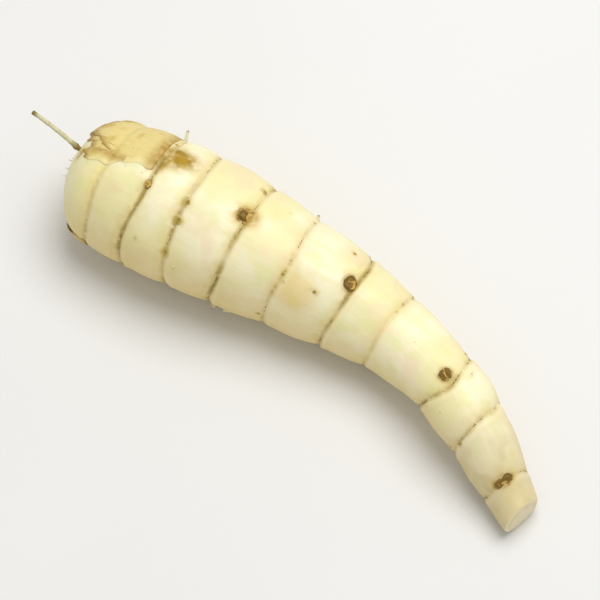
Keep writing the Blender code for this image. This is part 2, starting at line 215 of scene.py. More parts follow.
def linear(red, green, blue):
    """A colour given in 8-bit screen values, in Blender's linear ones."""
    def channel(value):
        part = value / 255
        return part / 12.92 if part <= 0.04045 else ((part + 0.055) / 1.055) ** 2.4
    return (channel(red), channel(green), channel(blue))


def number(name, description, default, **settings):
    return bpy.props.FloatProperty(name=name, description=description, default=default, **settings)


def size(name, description, millimetres):
    return number(
        name, description, millimetres * MM, precision=5, min=0, unit="LENGTH", subtype="DISTANCE"
    )


def share(name, description, default):
    return number(name, description, default, min=0, subtype="FACTOR")


def bearing(name, description, degrees):
    return number(name, description, math.radians(degrees), subtype="ANGLE")


def location(name, description, *metres):
    return bpy.props.FloatVectorProperty(
        name=name, description=description, default=metres, subtype="TRANSLATION", unit="LENGTH"
    )


def tint(name, description, *screen_colour):
    return bpy.props.FloatVectorProperty(
        name=name, description=description, default=linear(*screen_colour),
        min=0, max=1, subtype="COLOR",
    )


def whole(name, description, default):
    return bpy.props.IntProperty(name=name, description=description, default=default, min=0)


class BodySettings(bpy.types.PropertyGroup):
    """Sizes and colours of the ringed body."""

    sectors: whole("Sectors", "Points round the body", 288)
    rows: whole("Rows", "Rows of points between two rings", 24)
    crown_rows: whole("Crown Rows", "Rows of points from the crown's end to its first ring", 56)
    lump_height: size("Lump Height", "How far the skin's soft lumps rise and sink", 0.45)
    lump_size: size("Lump Size", "Distance from one soft lump to the next", 14)
    dent_height: size("Dent Height", "Depth of the small dents", 0.07)
    dent_size: size("Dent Size", "Distance from one small dent to the next", 4)
    streak_height: size("Streak Height", "How far the fine streaks along the body stand out", 0.04)
    pucker_height: size("Pucker Height", "Depth of the short creases that run into the rings", 0.12)
    seed: whole("Seed", "Picks the pattern of lumps and streaks", 4)
    cream: tint("Cream", "The skin's own colour", 246, 238, 202)
    straw: tint("Straw", "The yellower skin of blotches and of the crown", 232, 222, 153)
    green: tint("Green", "The greener skin of the smallest blotches", 230, 230, 166)
    blush: tint("Blush", "The rosier skin of other blotches", 240, 214, 178)
    # Painted shade: the skin low on the sides, with some of the underside's own tan, and beside the
    # rings. It also tints one yellowed blotch.
    flank: tint("Flank", "The skin low on the sides and beside the rings", 230, 200, 112)
    tip: tint("Tip", "The skin at the tip", 206, 188, 138)
    ring_brown: tint("Ring Brown", "The dry line in a ring's groove", 166, 142, 66)
    # Painted highlight: the paler band along each ring's ridge.
    lip: tint("Lip", "The paler skin along a ring", 250, 243, 214)
    # Beside a ring this olive is partly the ring's stain and partly painted shade; round a scar it
    # is the scar's own stain.
    olive: tint("Olive", "The stain beside a ring and round a scar", 200, 176, 88)
    glow: tint("Glow", "The skin round an eye", 222, 188, 112)
    # Partly the stain at the largest leaf scale's root, partly painted shadow there.
    stain_and_shadow_brown: tint("Leaf Brown", "The stain at the root of the largest leaf scale", 180, 142, 24)
    flesh: tint("Flesh", "The cut face", 232, 220, 182)
    stalk: tint("Stalk", "The scar of the stalk at the crown's end", 206, 182, 118)
    roughness: share("Roughness", "How matt the waxy skin is", 0.4)


class RingSettings(bpy.types.PropertyGroup):
    """The dry rims and torn fringe that old leaves left on the rings."""

    rim_width: size("Rim Width", "Width of a dry rim at its widest", 1.15)
    fringe_length: size("Fringe Length", "Length of the torn shreds on a rim", 1.1)
    fringe_spacing: size("Fringe Spacing", "Distance from one shred to the next", 0.8)
    seed: whole("Seed", "Picks where the rims are broken", 11)
    dark: tint("Dark", "A rim's darkest parts", 144, 120, 52)
    tan: tint("Tan", "A rim's palest parts", 192, 168, 92)


class EyeSettings(bpy.types.PropertyGroup):
    """The scaly buds on the rings."""

    height: size("Height", "How far a bud stands out of the skin", 0.62)
    wrinkle: size("Wrinkle", "Depth of the wrinkles on a bud", 0.1)
    warp: size("Warp", "How far a bud's outline strays", 0.45)
    seed: whole("Seed", "Picks each bud's own size and turn", 3)
    dark: tint("Dark", "A bud's folds and edges", 114, 88, 28)
    tan: tint("Tan", "A bud's scales", 206, 168, 86)


class ScarSettings(bpy.types.PropertyGroup):
    """The small round scars of lost roots beside the rings."""

    count: whole("Count", "Scars beside each ring, on the sides turned away", 4)
    width: size("Width", "Width of a common scar", 1.1)
    seed: whole("Seed", "Picks where the scars lie", 21)
    dark: tint("Dark", "A scar's middle", 156, 134, 60)
    tan: tint("Tan", "A scar's rim", 210, 190, 104)


class RootSettings(bpy.types.PropertyGroup):
    """The broken root hair, the rootlet stubs and the fibres of the stalk."""

    wrinkle: share("Wrinkle", "How uneven a rootlet is, as a share of its thickness", 0.3)
    fibres: whole("Fibres", "Fibres left standing on the stalk scar", 90)
    seed: whole("Seed", "Picks the unevenness", 5)
    pale: tint("Pale", "A rootlet's bark", 214, 208, 168)
    dark: tint("Dark", "A rootlet's base and broken end", 134, 108, 50)


class ScaleSettings(bpy.types.PropertyGroup):
    """The papery leaf scales round the crown."""

    thickness: size("Thickness", "Thickness of the paper", 0.18)
    rib_spacing: size("Rib Spacing", "Distance from one rib to the next", 1.3)
    rib_height: size("Rib Height", "How far the ribs stand out", 0.05)
    fibres: whole("Fibres", "Loose fibres on each scale", 8)
    seed: whole("Seed", "Picks the tears and fibres", 8)
    tan: tint("Tan", "The paper", 226, 206, 136)
    vein: tint("Vein", "The paper's veins and stains", 198, 168, 78)
    skin: tint("Skin", "The paper where its sides cling to the body", 236, 222, 158)
    # At the largest scale's root this brown is partly painted shadow, and along the crack between
    # the two largest scales it is painted shade.
    brown: tint("Brown", "The paper's torn edges and its root", 168, 128, 44)


class FlakeSettings(bpy.types.PropertyGroup):
    """The small loose flakes of thin skin."""

    count: whole("Count", "Flakes on the whole tuber", 10)
    length: size("Length", "Length of a common flake", 1.7)
    seed: whole("Seed", "Picks where the flakes lie", 6)
    dark: tint("Dark", "A flake's torn edge", 214, 196, 146)
    tan: tint("Tan", "A flake", 240, 226, 178)


class StageSettings(bpy.types.PropertyGroup):
    """Floor, light and camera."""

    azimuth: bearing("Azimuth", "The side that the camera stands on", 39.4)
    elevation: bearing("Elevation", "How high the camera looks down from", 64)
    eye: location("Camera Place", "Where the camera stands", 0.4004, -0.4314, 1.2583)
    target: location("Target", "What the camera is aimed at", 0.0, 0.0, 0.018)
    width: size("View Width", "How much the picture takes in at the target", 174)
    sky: number("Sky", "Strength of the even light", 0.52, min=0)
    key: number("Key", "Power of the large soft light", 10.0, min=0, unit="POWER")
    floor: tint("Floor", "Colour of the floor", 230, 229, 226)


def smooth_step(value):
    value = np.clip(value, 0.0, 1.0)
    return value * value * (3 - 2 * value)


def soft_ring(value, middle, width):
    return np.exp(-(((value - middle) / width) ** 2))


def smooth_through(points, place):
    """The height at a place of a smooth curve through (place, height) pairs."""
    places, heights = np.array(points).T
    slopes = np.gradient(heights, places)
    part = np.clip(np.searchsorted(places, place) - 1, 0, len(places) - 2)
    width = places[part + 1] - places[part]
    t = (place - places[part]) / width
    start = heights[part] * (1 + 2 * t) * (1 - t) ** 2 + slopes[part] * width * t * (1 - t) ** 2
    end = heights[part + 1] * t * t * (3 - 2 * t) + slopes[part + 1] * width * t * t * (t - 1)
    return start + end


def heading(place):
    turned = smooth_step((place - BEND_FROM) / (BEND_TO - BEND_FROM))
    return CROWN_HEADING + (TIP_HEADING - CROWN_HEADING) * turned


def axis_height(place):
    along = np.clip((place - TAIL_FROM) / (LENGTH - TAIL_FROM), 0.0, 1.0)
    return smooth_through(PROFILE, place) + TAIL_LIFT * np.sin(math.pi * along**TAIL_PEAK) ** 2


def spine_table(steps=800, overrun=6 * MM):
    """Places along the body with the middle's points there, by adding up short steps."""
    places = np.linspace(-overrun, LENGTH + overrun, steps)
    middle = (places[1:] + places[:-1]) / 2
    rise = np.diff(axis_height(places))
    flat = np.sqrt(np.maximum(np.diff(places) ** 2 - rise**2, 0.0))
    x = np.concatenate([[0.0], np.cumsum(flat * np.cos(heading(middle)))])
    y = np.concatenate([[0.0], np.cumsum(flat * np.sin(heading(middle)))])
    return places, np.stack([x, y, axis_height(places)], axis=1)


SPINE_PLACES, SPINE_POINTS = spine_table()


def spine_point(place):
    return np.stack([np.interp(place, SPINE_PLACES, SPINE_POINTS[:, i]) for i in range(3)], axis=-1)


def spine_axes(place, reach=0.5 * MM):
    """The direction along the body, the level direction to its left, and the one over it."""
    along = spine_point(place + reach) - spine_point(place - reach)
    along /= np.linalg.norm(along, axis=-1, keepdims=True)
    side = np.cross([0.0, 0.0, 1.0], along)
    side /= np.linalg.norm(side, axis=-1, keepdims=True)
    return along, side, np.cross(along, side)


def ring_place(ring, angle):
    """Where ring number `ring` crosses the given angle. The last one is the rim of the cut tip."""
    if ring < 0:
        return np.zeros_like(angle)
    if ring >= len(RINGS):
        return LENGTH + CUT_SLANT * np.cos(angle - CUT_SIDE)
    place, lean, side = RINGS[ring]
    wave = sum(part * np.sin(count * angle + turn * ring) for count, turn, part in RING_WAVES)
    return place + lean * np.cos(angle - side) + RING_WAVE * wave


def ring_at(ring, angle):
    """As ring_place, for one angle."""
    return ring_place(ring, np.array([angle]))[0]


def plain_radius(place):
    """The body's radius without its rings and swellings."""
    return smooth_through(PROFILE, np.array([place]))[0]


def ring_depth(ring):
    return np.array((1.0, *RING_DEPTHS, 1.0))[np.asarray(ring) + 1]


def ring_relief(distance):
    groove = GROOVE_DEPTH * soft_ring(distance, 0.0, GROOVE_WIDTH)
    return RIDGE_HEIGHT * soft_ring(distance, RIDGE_OFFSET, RIDGE_WIDTH) - groove


def crown_cap(place):
    inward = np.clip(1 - place / CROWN_CAP, 0.0, 1.0)
    return (1 - inward**CROWN_BLUNTNESS) ** (1 / CROWN_BLUNTNESS)


def section(place, angle):
    oval = OVAL * np.cos(2 * (angle - OVAL_TWIST * place))
    lobed = LOBED * np.cos(3 * (angle + LOBED_TWIST * place))
    return 1 + oval + lobed


def skin_radius(place, angle, before, after, ring):
    """How far the skin is from the middle, between ring number `ring` and the next one."""
    part = np.clip((place - before) / (after - before), 0.0, 1.0)
    swell = np.where(np.asarray(ring) == len(RINGS) - 1, TIP_SWELL, SWELL + PLUMPNESS)
    relief = swell * np.sin(math.pi * part) + ring_depth(ring) * ring_relief(place - before)
    relief = relief + ring_depth(np.asarray(ring) + 1) * ring_relief(place - after)
    plain = smooth_through(PROFILE, np.maximum(place, 0.0)) * section(place, angle)
    return (plain + relief) * crown_cap(place)


def outward_at(place, angle):
    """The direction along the body, and the one that goes out from its middle at an angle."""
    along, side, over = spine_axes(place)
    return along, side * np.cos(angle)[..., None] + over * np.sin(angle)[..., None]


def surface_point(place, angle, radius):
    return spine_point(place) + outward_at(place, angle)[1] * np.asarray(radius)[..., None]


def skin_frames(place, angle):
    """Points of the skin, with the directions along the body, round it and outward at each."""
    place, angle = np.broadcast_arrays(np.atleast_1d(place).astype(float), angle)
    bounds = np.stack([ring_place(ring, angle) for ring in range(-1, len(RINGS) + 1)])
    passed = (bounds[1:-1] <= place).sum(axis=0)
    before, after = (
        np.take_along_axis(bounds, (passed + step)[None], axis=0)[0] for step in (0, 1)
    )
    points = surface_point(place, angle, skin_radius(place, angle, before, after, passed - 1))
    along, outward = outward_at(place, angle)
    return points, along, np.cross(along, outward), outward


def ring_mark(ring, angle):
    """How brown a ring is at an angle: it fades and comes back on its way round."""
    if ring < 0 or ring >= len(RINGS):
        return np.zeros_like(angle)
    wave = sum(part * np.sin(count * angle + turn * (ring + 1)) for count, turn, part in MARK_WAVES)
    mark = RING_MARKS[ring] * np.clip(MARK_LEVEL + wave, 0.0, 1.0)
    for gap_ring, middle, reach, fade in MARK_GAPS:
        if gap_ring == ring:
            turned = (angle - middle + math.pi) % (2 * math.pi)
            mark = mark * (1 - fade * soft_ring(turned, math.pi, reach))
    return mark


def band(ring, steps, angle):
    """The rows of one band of skin, from a ring to the next, as a set of named arrays."""
    before, after = ring_place(ring, angle), ring_place(ring + 1, angle)
    place = before + (after - before) * steps[:, None]
    rim = RIDGE_OFFSET if ring + 1 == len(RINGS) else 0.0
    radius = skin_radius(place, angle + 0 * place, before, after + rim, ring)
    past, ahead = place - before, after - place
    stalk = 0 * place
    if ring < 0:
        place = place + STALK_DEPTH * np.clip(1 - (radius / STALK_SCAR) ** 2, 0.0, 1.0)
        stalk = np.clip(1 - radius / STALK_SCAR, 0.0, 1.0)
        past = np.full_like(past, LENGTH)
    if ring + 1 == len(RINGS):
        ahead = np.full_like(ahead, LENGTH)
    mark = np.where(past < ahead, ring_mark(ring, angle), ring_mark(ring + 1, angle))
    return {
        "place": place, "radius": radius, "past": past, "ahead": ahead, "mark": mark,
        "cut": 0 * place, "reach": 1 + 0 * place, "stalk": stalk,
    }


def cut_band(angle, edge_rows=5, face_rows=12):
    """The rounded edge and the low dome of the slanted cut that ends the tip."""
    rim, before = ring_place(len(RINGS), angle), ring_place(len(RINGS) - 1, angle)
    radius = skin_radius(rim, angle, before, rim + RIDGE_OFFSET, len(RINGS) - 1)
    turn = np.arange(edge_rows) / edge_rows * math.pi / 2
    inward = CUT_EDGE * (1 - np.cos(turn))
    out = CUT_EDGE * np.sin(turn)
    steps = 1 - np.arange(face_rows) / face_rows
    face = (radius - CUT_EDGE) * steps[:, None]
    radii = np.concatenate([radius - inward[:, None], face])
    dome = CUT_EDGE + CUT_DOME * (1 - steps**2)
    out = np.concatenate([out[:, None] + 0 * radius, dome[:, None] + 0 * radius])
    place = LENGTH + (rim - LENGTH) * radii / radius + out
    cut = np.concatenate([np.linspace(0, 1, edge_rows), np.ones(face_rows)])[:, None] + 0 * radii
    far = np.full_like(place, LENGTH)
    return {
        "place": place, "radius": radii, "past": far, "ahead": far, "mark": 0 * place,
        "cut": cut, "reach": radii / radius, "stalk": 0 * place,
    }


def skin_rows(sectors, rows, crown_rows):
    """All the rows of the body's points, from the crown's end to the middle of the cut."""
    angle = np.arange(sectors) * 2 * math.pi / sectors
    step = np.arange(rows) / rows
    even = step - ROW_CROWDING * np.sin(2 * math.pi * step) / (2 * math.pi)
    crown = 1 - np.cos(math.pi / 2 * np.arange(1, crown_rows) / crown_rows)
    bands = [band(-1, crown, angle)] + [band(ring, even, angle) for ring in range(len(RINGS))]
    bands.append(cut_band(angle))
    grid = {name: np.concatenate([part[name] for part in bands]) for name in bands[0]}
    grid["angle"] = angle + 0 * grid["place"]
    return grid


def settle_spine():
    """Lowers the middle so that belly and tip reach just under z = 0, and sets it in its box."""
    grid = skin_rows(sectors=72, rows=12, crown_rows=16)
    points = surface_point(grid["place"], grid["angle"], grid["radius"])
    place, lowest = grid["place"].mean(axis=1), points[..., 2].min(axis=1)
    belly, tip = lowest[place < BELLY_TO].min(), lowest[place > TIP_REST_FROM].min()
    along = np.clip((SPINE_PLACES - BELLY_TO) / (TIP_REST_FROM - BELLY_TO), 0.0, 1.0)
    SPINE_POINTS[:, 2] -= belly + (tip - belly) * along + REST_DEPTH
    low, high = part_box(NODE)
    SPINE_POINTS[:, 0] += high.x - points[..., 0].max()
    SPINE_POINTS[:, 1] += low.y - points[..., 1].min()


settle_spine()


def add_attribute(mesh, name, values):
    """Keeps a number or a vector for each point of the mesh, for trees and materials to read."""
    values = np.asarray(values, dtype=np.float32)
    kind = "FLOAT_VECTOR" if values.ndim > 1 and values.shape[-1] == 3 else "FLOAT"
    layer = mesh.attributes.new(name, kind, "POINT")
    layer.data.foreach_set("vector" if kind == "FLOAT_VECTOR" else "value", values.ravel())


def in_scene(name, data, place=(0.0, 0.0, 0.0)):
    """A new object with the mesh, light or camera given."""
    thing = bpy.data.objects.new(name, data)
    thing.location = place
    bpy.context.scene.collection.objects.link(thing)
    return thing


def new_piece(name, points, faces, attributes=None, edges=()):
    mesh = bpy.data.meshes.new(name)
    mesh.from_pydata([tuple(point) for point in points], edges, faces)
    for key, values in (attributes or {}).items():
        add_attribute(mesh, key, values)
    if faces:
        mesh.shade_smooth()
    return in_scene(name, mesh)


def tube_faces(rows, count):
    """Faces of rows of points that go round a tube, with a middle point for each end."""
    around = [(i, (i + 1) % count) for i in range(count)]
    start, end, last = rows * count, rows * count + 1, (rows - 1) * count
    faces = [
        (row + i, row + j, row + count + j, row + count + i)
        for row in range(0, last, count) for i, j in around
    ]
    for i, j in around:
        faces += [(i, start, j), (last + j, end, last + i)]
    return faces


def sheet_faces(rows, columns):
    """Faces of a thick sheet: an upper grid of points, then a lower grid, joined round the edge."""
    lower = rows * columns
    faces = []
    for row in range(rows - 1):
        for i in range(columns - 1):
            a = row * columns + i
            quad = (a, a + 1, a + columns + 1, a + columns)
            faces += [quad, tuple(lower + corner for corner in reversed(quad))]
    rim = [(0, i) for i in range(columns)] + [(row, columns - 1) for row in range(1, rows)]
    rim += [(rows - 1, i) for i in range(columns - 2, -1, -1)]
    rim += [(row, 0) for row in range(rows - 2, 0, -1)]
    ids = [row * columns + i for row, i in rim]
    faces += [(b, a, lower + a, lower + b) for a, b in zip(ids, ids[1:] + ids[:1])]
    return faces


def with_ends(values):
    """The values of all rows in one list, with the mean of the first row and of the last added."""
    values = np.asarray(values)
    flat = values.reshape(-1, *values.shape[2:])
    return np.concatenate([flat, values[:1].mean(axis=1), values[-1:].mean(axis=1)])


class Nodes:
    """Adds nodes to one tree. An input's value may be a plain value or another node's output."""

    def __init__(self, tree):
        self.tree = tree

    def add(self, kind, inputs=None, **settings):
        node = self.tree.nodes.new(kind)
        for name, value in settings.items():
            setattr(node, name, value)
        for key, value in (inputs or {}).items():
            self.feed(node.inputs[key], value)
        return node

    def out(self, kind, inputs=None, **settings):
        """The first output of a new node."""
        return self.add(kind, inputs, **settings).outputs[0]

    def feed(self, socket, value):
        if isinstance(value, bpy.types.NodeSocket):
            self.link(value, socket)
        else:
            socket.default_value = value

    def link(self, output, socket):
        self.tree.links.new(output, socket)

    def math(self, operation, *values, clamp=False):
        inputs = dict(enumerate(values))
        return self.out("ShaderNodeMath", inputs, operation=operation, use_clamp=clamp)

    def times(self, first, *others):
        for other in others:
            first = self.math("MULTIPLY", first, other)
        return first

    def plus(self, first, *others):
        for other in others:
            first = self.math("ADD", first, other)
        return first

    def vector(self, operation, *values):
        return self.out("ShaderNodeVectorMath", dict(enumerate(values)), operation=operation)

    def scaled(self, vector, amount):
        inputs = {"Vector": vector, "Scale": amount}
        return self.out("ShaderNodeVectorMath", inputs, operation="SCALE")

    def joined(self, x=0.0, y=0.0, z=0.0):
        return self.out("ShaderNodeCombineXYZ", {"X": x, "Y": y, "Z": z})

    def between(self, value, low, high):
        """0 below low, 1 above high, and a soft step between. Low may be the larger one."""
        inputs = {"Value": value, "From Min": low, "From Max": high}
        return self.out("ShaderNodeMapRange", inputs, interpolation_type="SMOOTHSTEP")

    def noise(self, vector, size, detail=2.0, roughness=0.5, output="Fac"):
        given = isinstance(size, bpy.types.NodeSocket)
        scale = self.math("DIVIDE", 1.0, size) if given else 1 / size
        inputs = {"Vector": vector, "Scale": scale, "Detail": detail, "Roughness": roughness}
        return self.add("ShaderNodeTexNoise", inputs).outputs[output]

    def unevenness(self, vector, size, height, detail=2.0):
        """Noise that goes from -height to height."""
        noise = self.math("SUBTRACT", self.noise(vector, size, detail), 0.5)
        return self.times(noise, self.times(height, 2.0))

    def astray(self, vector, size, reach, detail):
        """An uneven offset that goes as far as the reach to every side."""
        noise = self.noise(vector, size, detail, output="Color")
        return self.scaled(self.vector("SUBTRACT", noise, (0.5,) * 3), self.times(reach, 2.0))

    def moved(self, geometry, offset):
        return self.out("GeometryNodeSetPosition", {"Geometry": geometry, "Offset": offset})

    def named(self, name, kind="FLOAT"):
        """An attribute of the mesh, in a Geometry Nodes tree."""
        return self.out("GeometryNodeInputNamedAttribute", {"Name": name}, data_type=kind)

    def attribute(self, name, output="Fac"):
        """An attribute of the mesh, in a material."""
        return self.add("ShaderNodeAttribute", attribute_name=name).outputs[output]

    def here(self):
        return self.add("ShaderNodeTexCoord").outputs["Object"]

    def mix(self, factor, *colours):
        """From the first colour to the second one. Each is three parts or another node's output."""
        node = self.add("ShaderNodeMix", {0: factor}, data_type="RGBA")
        for key, colour in zip((6, 7), colours):
            plain = not isinstance(colour, bpy.types.NodeSocket)
            self.feed(node.inputs[key], (*colour, 1.0) if plain else colour)
        return node.outputs[2]

    def layered(self, colour, *layers):
        """The colour under layers. Each has a mask, how much it covers there, and its colour."""
        for mask, amount, other in layers:
            colour = self.mix(self.math("MULTIPLY", mask, amount, clamp=True), colour, other)
        return colour

    def bump(self, height, strength, distance):
        inputs = {"Height": height, "Strength": strength, "Distance": distance}
        return self.out("ShaderNodeBump", inputs)

    def effect(self, tree, **inputs):
        """Places a shader node group. Its inputs are given by name, with _ for a space."""
        inputs = {key.replace("_", " "): value for key, value in inputs.items()}
        return self.add("ShaderNodeGroup", inputs, node_tree=tree).outputs


def new_tree(name, kind, sockets):
    """A node group with its named inputs and outputs, and the helper that fills it."""
    tree = bpy.data.node_groups.new(name, kind)
    for socket, direction, sort, default in sockets:
        made = tree.interface.new_socket(socket, in_out=direction, socket_type="NodeSocket" + sort)
        if default is not None:
            made.default_value = default
    nodes = Nodes(tree)
    return tree, nodes, nodes.add("NodeGroupInput").outputs, nodes.add("NodeGroupOutput").inputs


def sockets_of(direction, sort, **defaults):
    """Rows for new_tree. Names are given with _ for a space."""
    return [(name.replace("_", " "), direction, sort, value) for name, value in defaults.items()]


def geometry_tree(name, *sockets):
    """A Geometry Nodes tree with the sockets that every one here has, and its own."""
    return new_tree(name, "GeometryNodeTree", [
        *sockets_of("INPUT", "Geometry", Geometry=None),
        *sockets_of("OUTPUT", "Geometry", Geometry=None),
        *sockets_of("INPUT", "Material", Material=None),
        *sockets_of("INPUT", "Int", Seed=0),
        *(row for rows in sockets for row in rows),
    ])


def grown(piece, tree, **values):
    """Carries out a Geometry Nodes tree on the piece and leaves its result as a plain mesh.

    The tree's inputs are given by name, with _ for a space.
    """
    modifier = piece.modifiers.new(tree.name, "NODES")
    modifier.node_group = tree
    for item in tree.interface.items_tree:
        name = item.name.replace(" ", "_")
        if item.in_out == "INPUT" and name in values:
            modifier[item.identifier] = values[name]
    depsgraph = bpy.context.evaluated_depsgraph_get()
    mesh = bpy.data.meshes.new_from_object(
        piece.evaluated_get(depsgraph), preserve_all_data_layers=True, depsgraph=depsgraph
    )
    piece.modifiers.clear()
    old, piece.data = piece.data, mesh
    bpy.data.meshes.remove(old)
    mesh.name = piece.name
    return piece


def finish_tree(nodes, given, out, geometry):
    """Ends a tree: nothing goes under z = 0, and the result is real geometry with its material."""
    parts = nodes.add("ShaderNodeSeparateXYZ", {0: nodes.out("GeometryNodeInputPosition")}).outputs
    resting = nodes.joined(parts["X"], parts["Y"], nodes.math("MAXIMUM", parts["Z"], 0.0))
    for kind, inputs in (
        ("GeometryNodeSetPosition", {"Position": resting}),
        ("GeometryNodeSetShadeSmooth", {}),
        ("GeometryNodeRealizeInstances", {}),
        ("GeometryNodeSetMaterial", {"Material": given["Material"]}),
    ):
        geometry = nodes.out(kind, {"Geometry": geometry, **inputs})
    nodes.link(geometry, out["Geometry"])


def seeded_position(nodes, seed):
    """Each point's position, moved by the seed, so that noise differs from seed to seed."""
    return nodes.vector("ADD", nodes.out("GeometryNodeInputPosition"), nodes.joined(seed))


def skin_relief_tree():
    """Soft lumps, small dents, fine streaks, and short creases that run into the rings."""
    tree, nodes, given, out = geometry_tree(
        "skin_relief",
        sockets_of("INPUT", "Float", Lump_Height=0.0, Lump_Size=0.01, Dent_Height=0.0),
        sockets_of("INPUT", "Float", Dent_Size=0.01, Streak_Height=0.0, Pucker_Height=0.0),
    )
    where = seeded_position(nodes, given["Seed"])
    grain = nodes.named("grain", "FLOAT_VECTOR")

    def along_grain(stretch, size, height):
        return nodes.unevenness(nodes.vector("MULTIPLY", grain, (stretch, 1.0, 1.0)), size, height)

    puckers = along_grain(0.25, 1.9 * MM, given["Pucker Height"])
    rise = nodes.plus(
        nodes.unevenness(where, given["Lump Size"], given["Lump Height"], 1.0),
        nodes.unevenness(where, given["Dent Size"], given["Dent Height"]),
        along_grain(0.08, 1.1 * MM, given["Streak Height"]),
        nodes.times(puckers, nodes.between(nodes.named("ring_near"), 4 * MM, 0.4 * MM)),
    )
    offset = nodes.scaled(nodes.out("GeometryNodeInputNormal"), rise)
    finish_tree(nodes, given, out, nodes.moved(given["Geometry"], offset))
    return tree


def path_tree():
    """An uneven round strand along each path, as wide as the path's own width."""
    tree, nodes, given, out = geometry_tree(
        "strand_along_path",
        sockets_of("INPUT", "Float", Step=0.0004, Wrinkle=0.2, Wrinkle_Size=0.001, Stray=0.0),
        sockets_of("INPUT", "Int", Sides=8),
    )
    where = seeded_position(nodes, given["Seed"])
    curve = nodes.out("GeometryNodeMeshToCurve", {0: given["Geometry"]})
    even = nodes.out(
        "GeometryNodeResampleCurve", {"Curve": curve, "Length": given["Step"]}, mode="LENGTH"
    )
    uneven = nodes.plus(1.0, nodes.unevenness(where, given["Wrinkle Size"], given["Wrinkle"]))
    strand = nodes.out("GeometryNodeCurveToMesh", {
        "Curve": nodes.moved(even, nodes.astray(where, given["Wrinkle Size"], given["Stray"], 2.0)),
        "Profile Curve": nodes.out(
            "GeometryNodeCurvePrimitiveCircle", {"Resolution": given["Sides"], "Radius": 1.0}
        ),
        "Scale": nodes.times(nodes.named("width"), 0.5, uneven),
        "Fill Caps": True,
    })
    finish_tree(nodes, given, out, strand)
    return tree


def spot_tree():
    """A copy of the template on each spot, turned to the skin there, each a little different."""
    tree, nodes, given, out = geometry_tree(
        "set_on_skin",
        sockets_of("INPUT", "Object", Template=None),
        sockets_of("INPUT", "Float", Size_Spread=0.1, Turn_Spread=0.2, Wrinkle=0.0),
        sockets_of("INPUT", "Float", Wrinkle_Size=0.001, Warp=0.0, Warp_Size=0.001),
    )

    def spread(middle, amount, seed):
        low, high = nodes.math("SUBTRACT", middle, amount), nodes.plus(middle, amount)
        return nodes.add("FunctionNodeRandomValue", {2: low, 3: high, "Seed": seed}).outputs[1]

    upright = nodes.out("FunctionNodeAxesToRotation", {
        0: nodes.named("outward", "FLOAT_VECTOR"), 1: nodes.named("forward", "FLOAT_VECTOR"),
    })
    turn = nodes.plus(nodes.named("turn"), spread(0.0, given["Turn Spread"], given["Seed"]))
    spin = nodes.out("FunctionNodeEulerToRotation", {0: nodes.joined(z=turn)})
    amount = spread(1.0, given["Size Spread"], nodes.plus(given["Seed"], 1))
    template = nodes.add("GeometryNodeObjectInfo", {"Object": given["Template"]})
    copies = nodes.out("GeometryNodeInstanceOnPoints", {
        "Points": given["Geometry"],
        "Instance": template.outputs["Geometry"],
        "Rotation": nodes.out(
            "FunctionNodeRotateRotation", {0: upright, 1: spin}, rotation_space="LOCAL"
        ),
        "Scale": nodes.scaled(nodes.named("size", "FLOAT_VECTOR"), amount),
    })
    real = nodes.out("GeometryNodeRealizeInstances", {"Geometry": copies})
    where = seeded_position(nodes, given["Seed"])
    rise = nodes.unevenness(where, given["Wrinkle Size"], given["Wrinkle"])
    offset = nodes.vector(
        "ADD", nodes.astray(where, given["Warp Size"], given["Warp"], 1.0),
        nodes.scaled(nodes.out("GeometryNodeInputNormal"), rise),
    )
    finish_tree(nodes, given, out, nodes.moved(real, offset))
    return tree


def shader_group(name, fill, outputs, **defaults):
    """A shader node group, built once and then used by each material that asks for it.

    It takes coordinates and the numbers that have a default, and gives each output as its kind.
    """
    if name not in bpy.data.node_groups:
        sockets = [
            *sockets_of("INPUT", "Vector", Coordinates=None),
            *sockets_of("INPUT", "Float", **defaults),
            *((output, "OUTPUT", sort, None) for output, sort in outputs.items()),
        ]
        fill(*new_tree(name, "ShaderNodeTree", sockets)[1:])
    return bpy.data.node_groups[name]


def soft_blotches():
    """Soft patches: the mask is 1 in them and 0 between them."""
    def fill(nodes, given, out):
        noise = nodes.noise(given["Coordinates"], given["Size"], given["Detail"])
        nodes.link(nodes.between(noise, given["Low"], given["High"]), out["Mask"])
    return shader_group(
        "soft_blotches", fill, {"Mask": "Float"}, Size=0.01, Low=0.42, High=0.66, Detail=2.0
    )


def long_streaks():
    """Fine streaks along the coordinates' X, as a mask and as the height for a bump."""
    def fill(nodes, given, out):
        stretch = nodes.joined(given["Stretch"], 1.0, 1.0)
        stretched = nodes.vector("MULTIPLY", given["Coordinates"], stretch)
        noise = nodes.noise(stretched, given["Width"], 3.0, 0.6)
        nodes.link(nodes.between(noise, 0.45, 0.75), out["Mask"])
        nodes.link(noise, out["Height"])
    return shader_group(
        "long_streaks", fill, {"Mask": "Float", "Height": "Float"}, Width=0.001, Stretch=0.06
    )


def dark_specks():
    """Scattered small dots of uneven size."""
    def fill(nodes, given, out):
        scale = nodes.math("DIVIDE", 1.0, given["Spacing"])
        cells = nodes.add("ShaderNodeTexVoronoi", {"Vector": given["Coordinates"], "Scale": scale})
        away = nodes.times(cells.outputs["Distance"], given["Spacing"])
        dot = nodes.between(away, given["Radius"], nodes.times(given["Radius"], 0.4))
        pick = nodes.out("ShaderNodeSeparateColor", {0: cells.outputs["Color"]})
        nodes.link(nodes.times(dot, nodes.math("LESS_THAN", pick, given["Share"])), out["Mask"])
    return shader_group(
        "dark_specks", fill, {"Mask": "Float"}, Spacing=0.004, Radius=0.0004, Share=0.4
    )


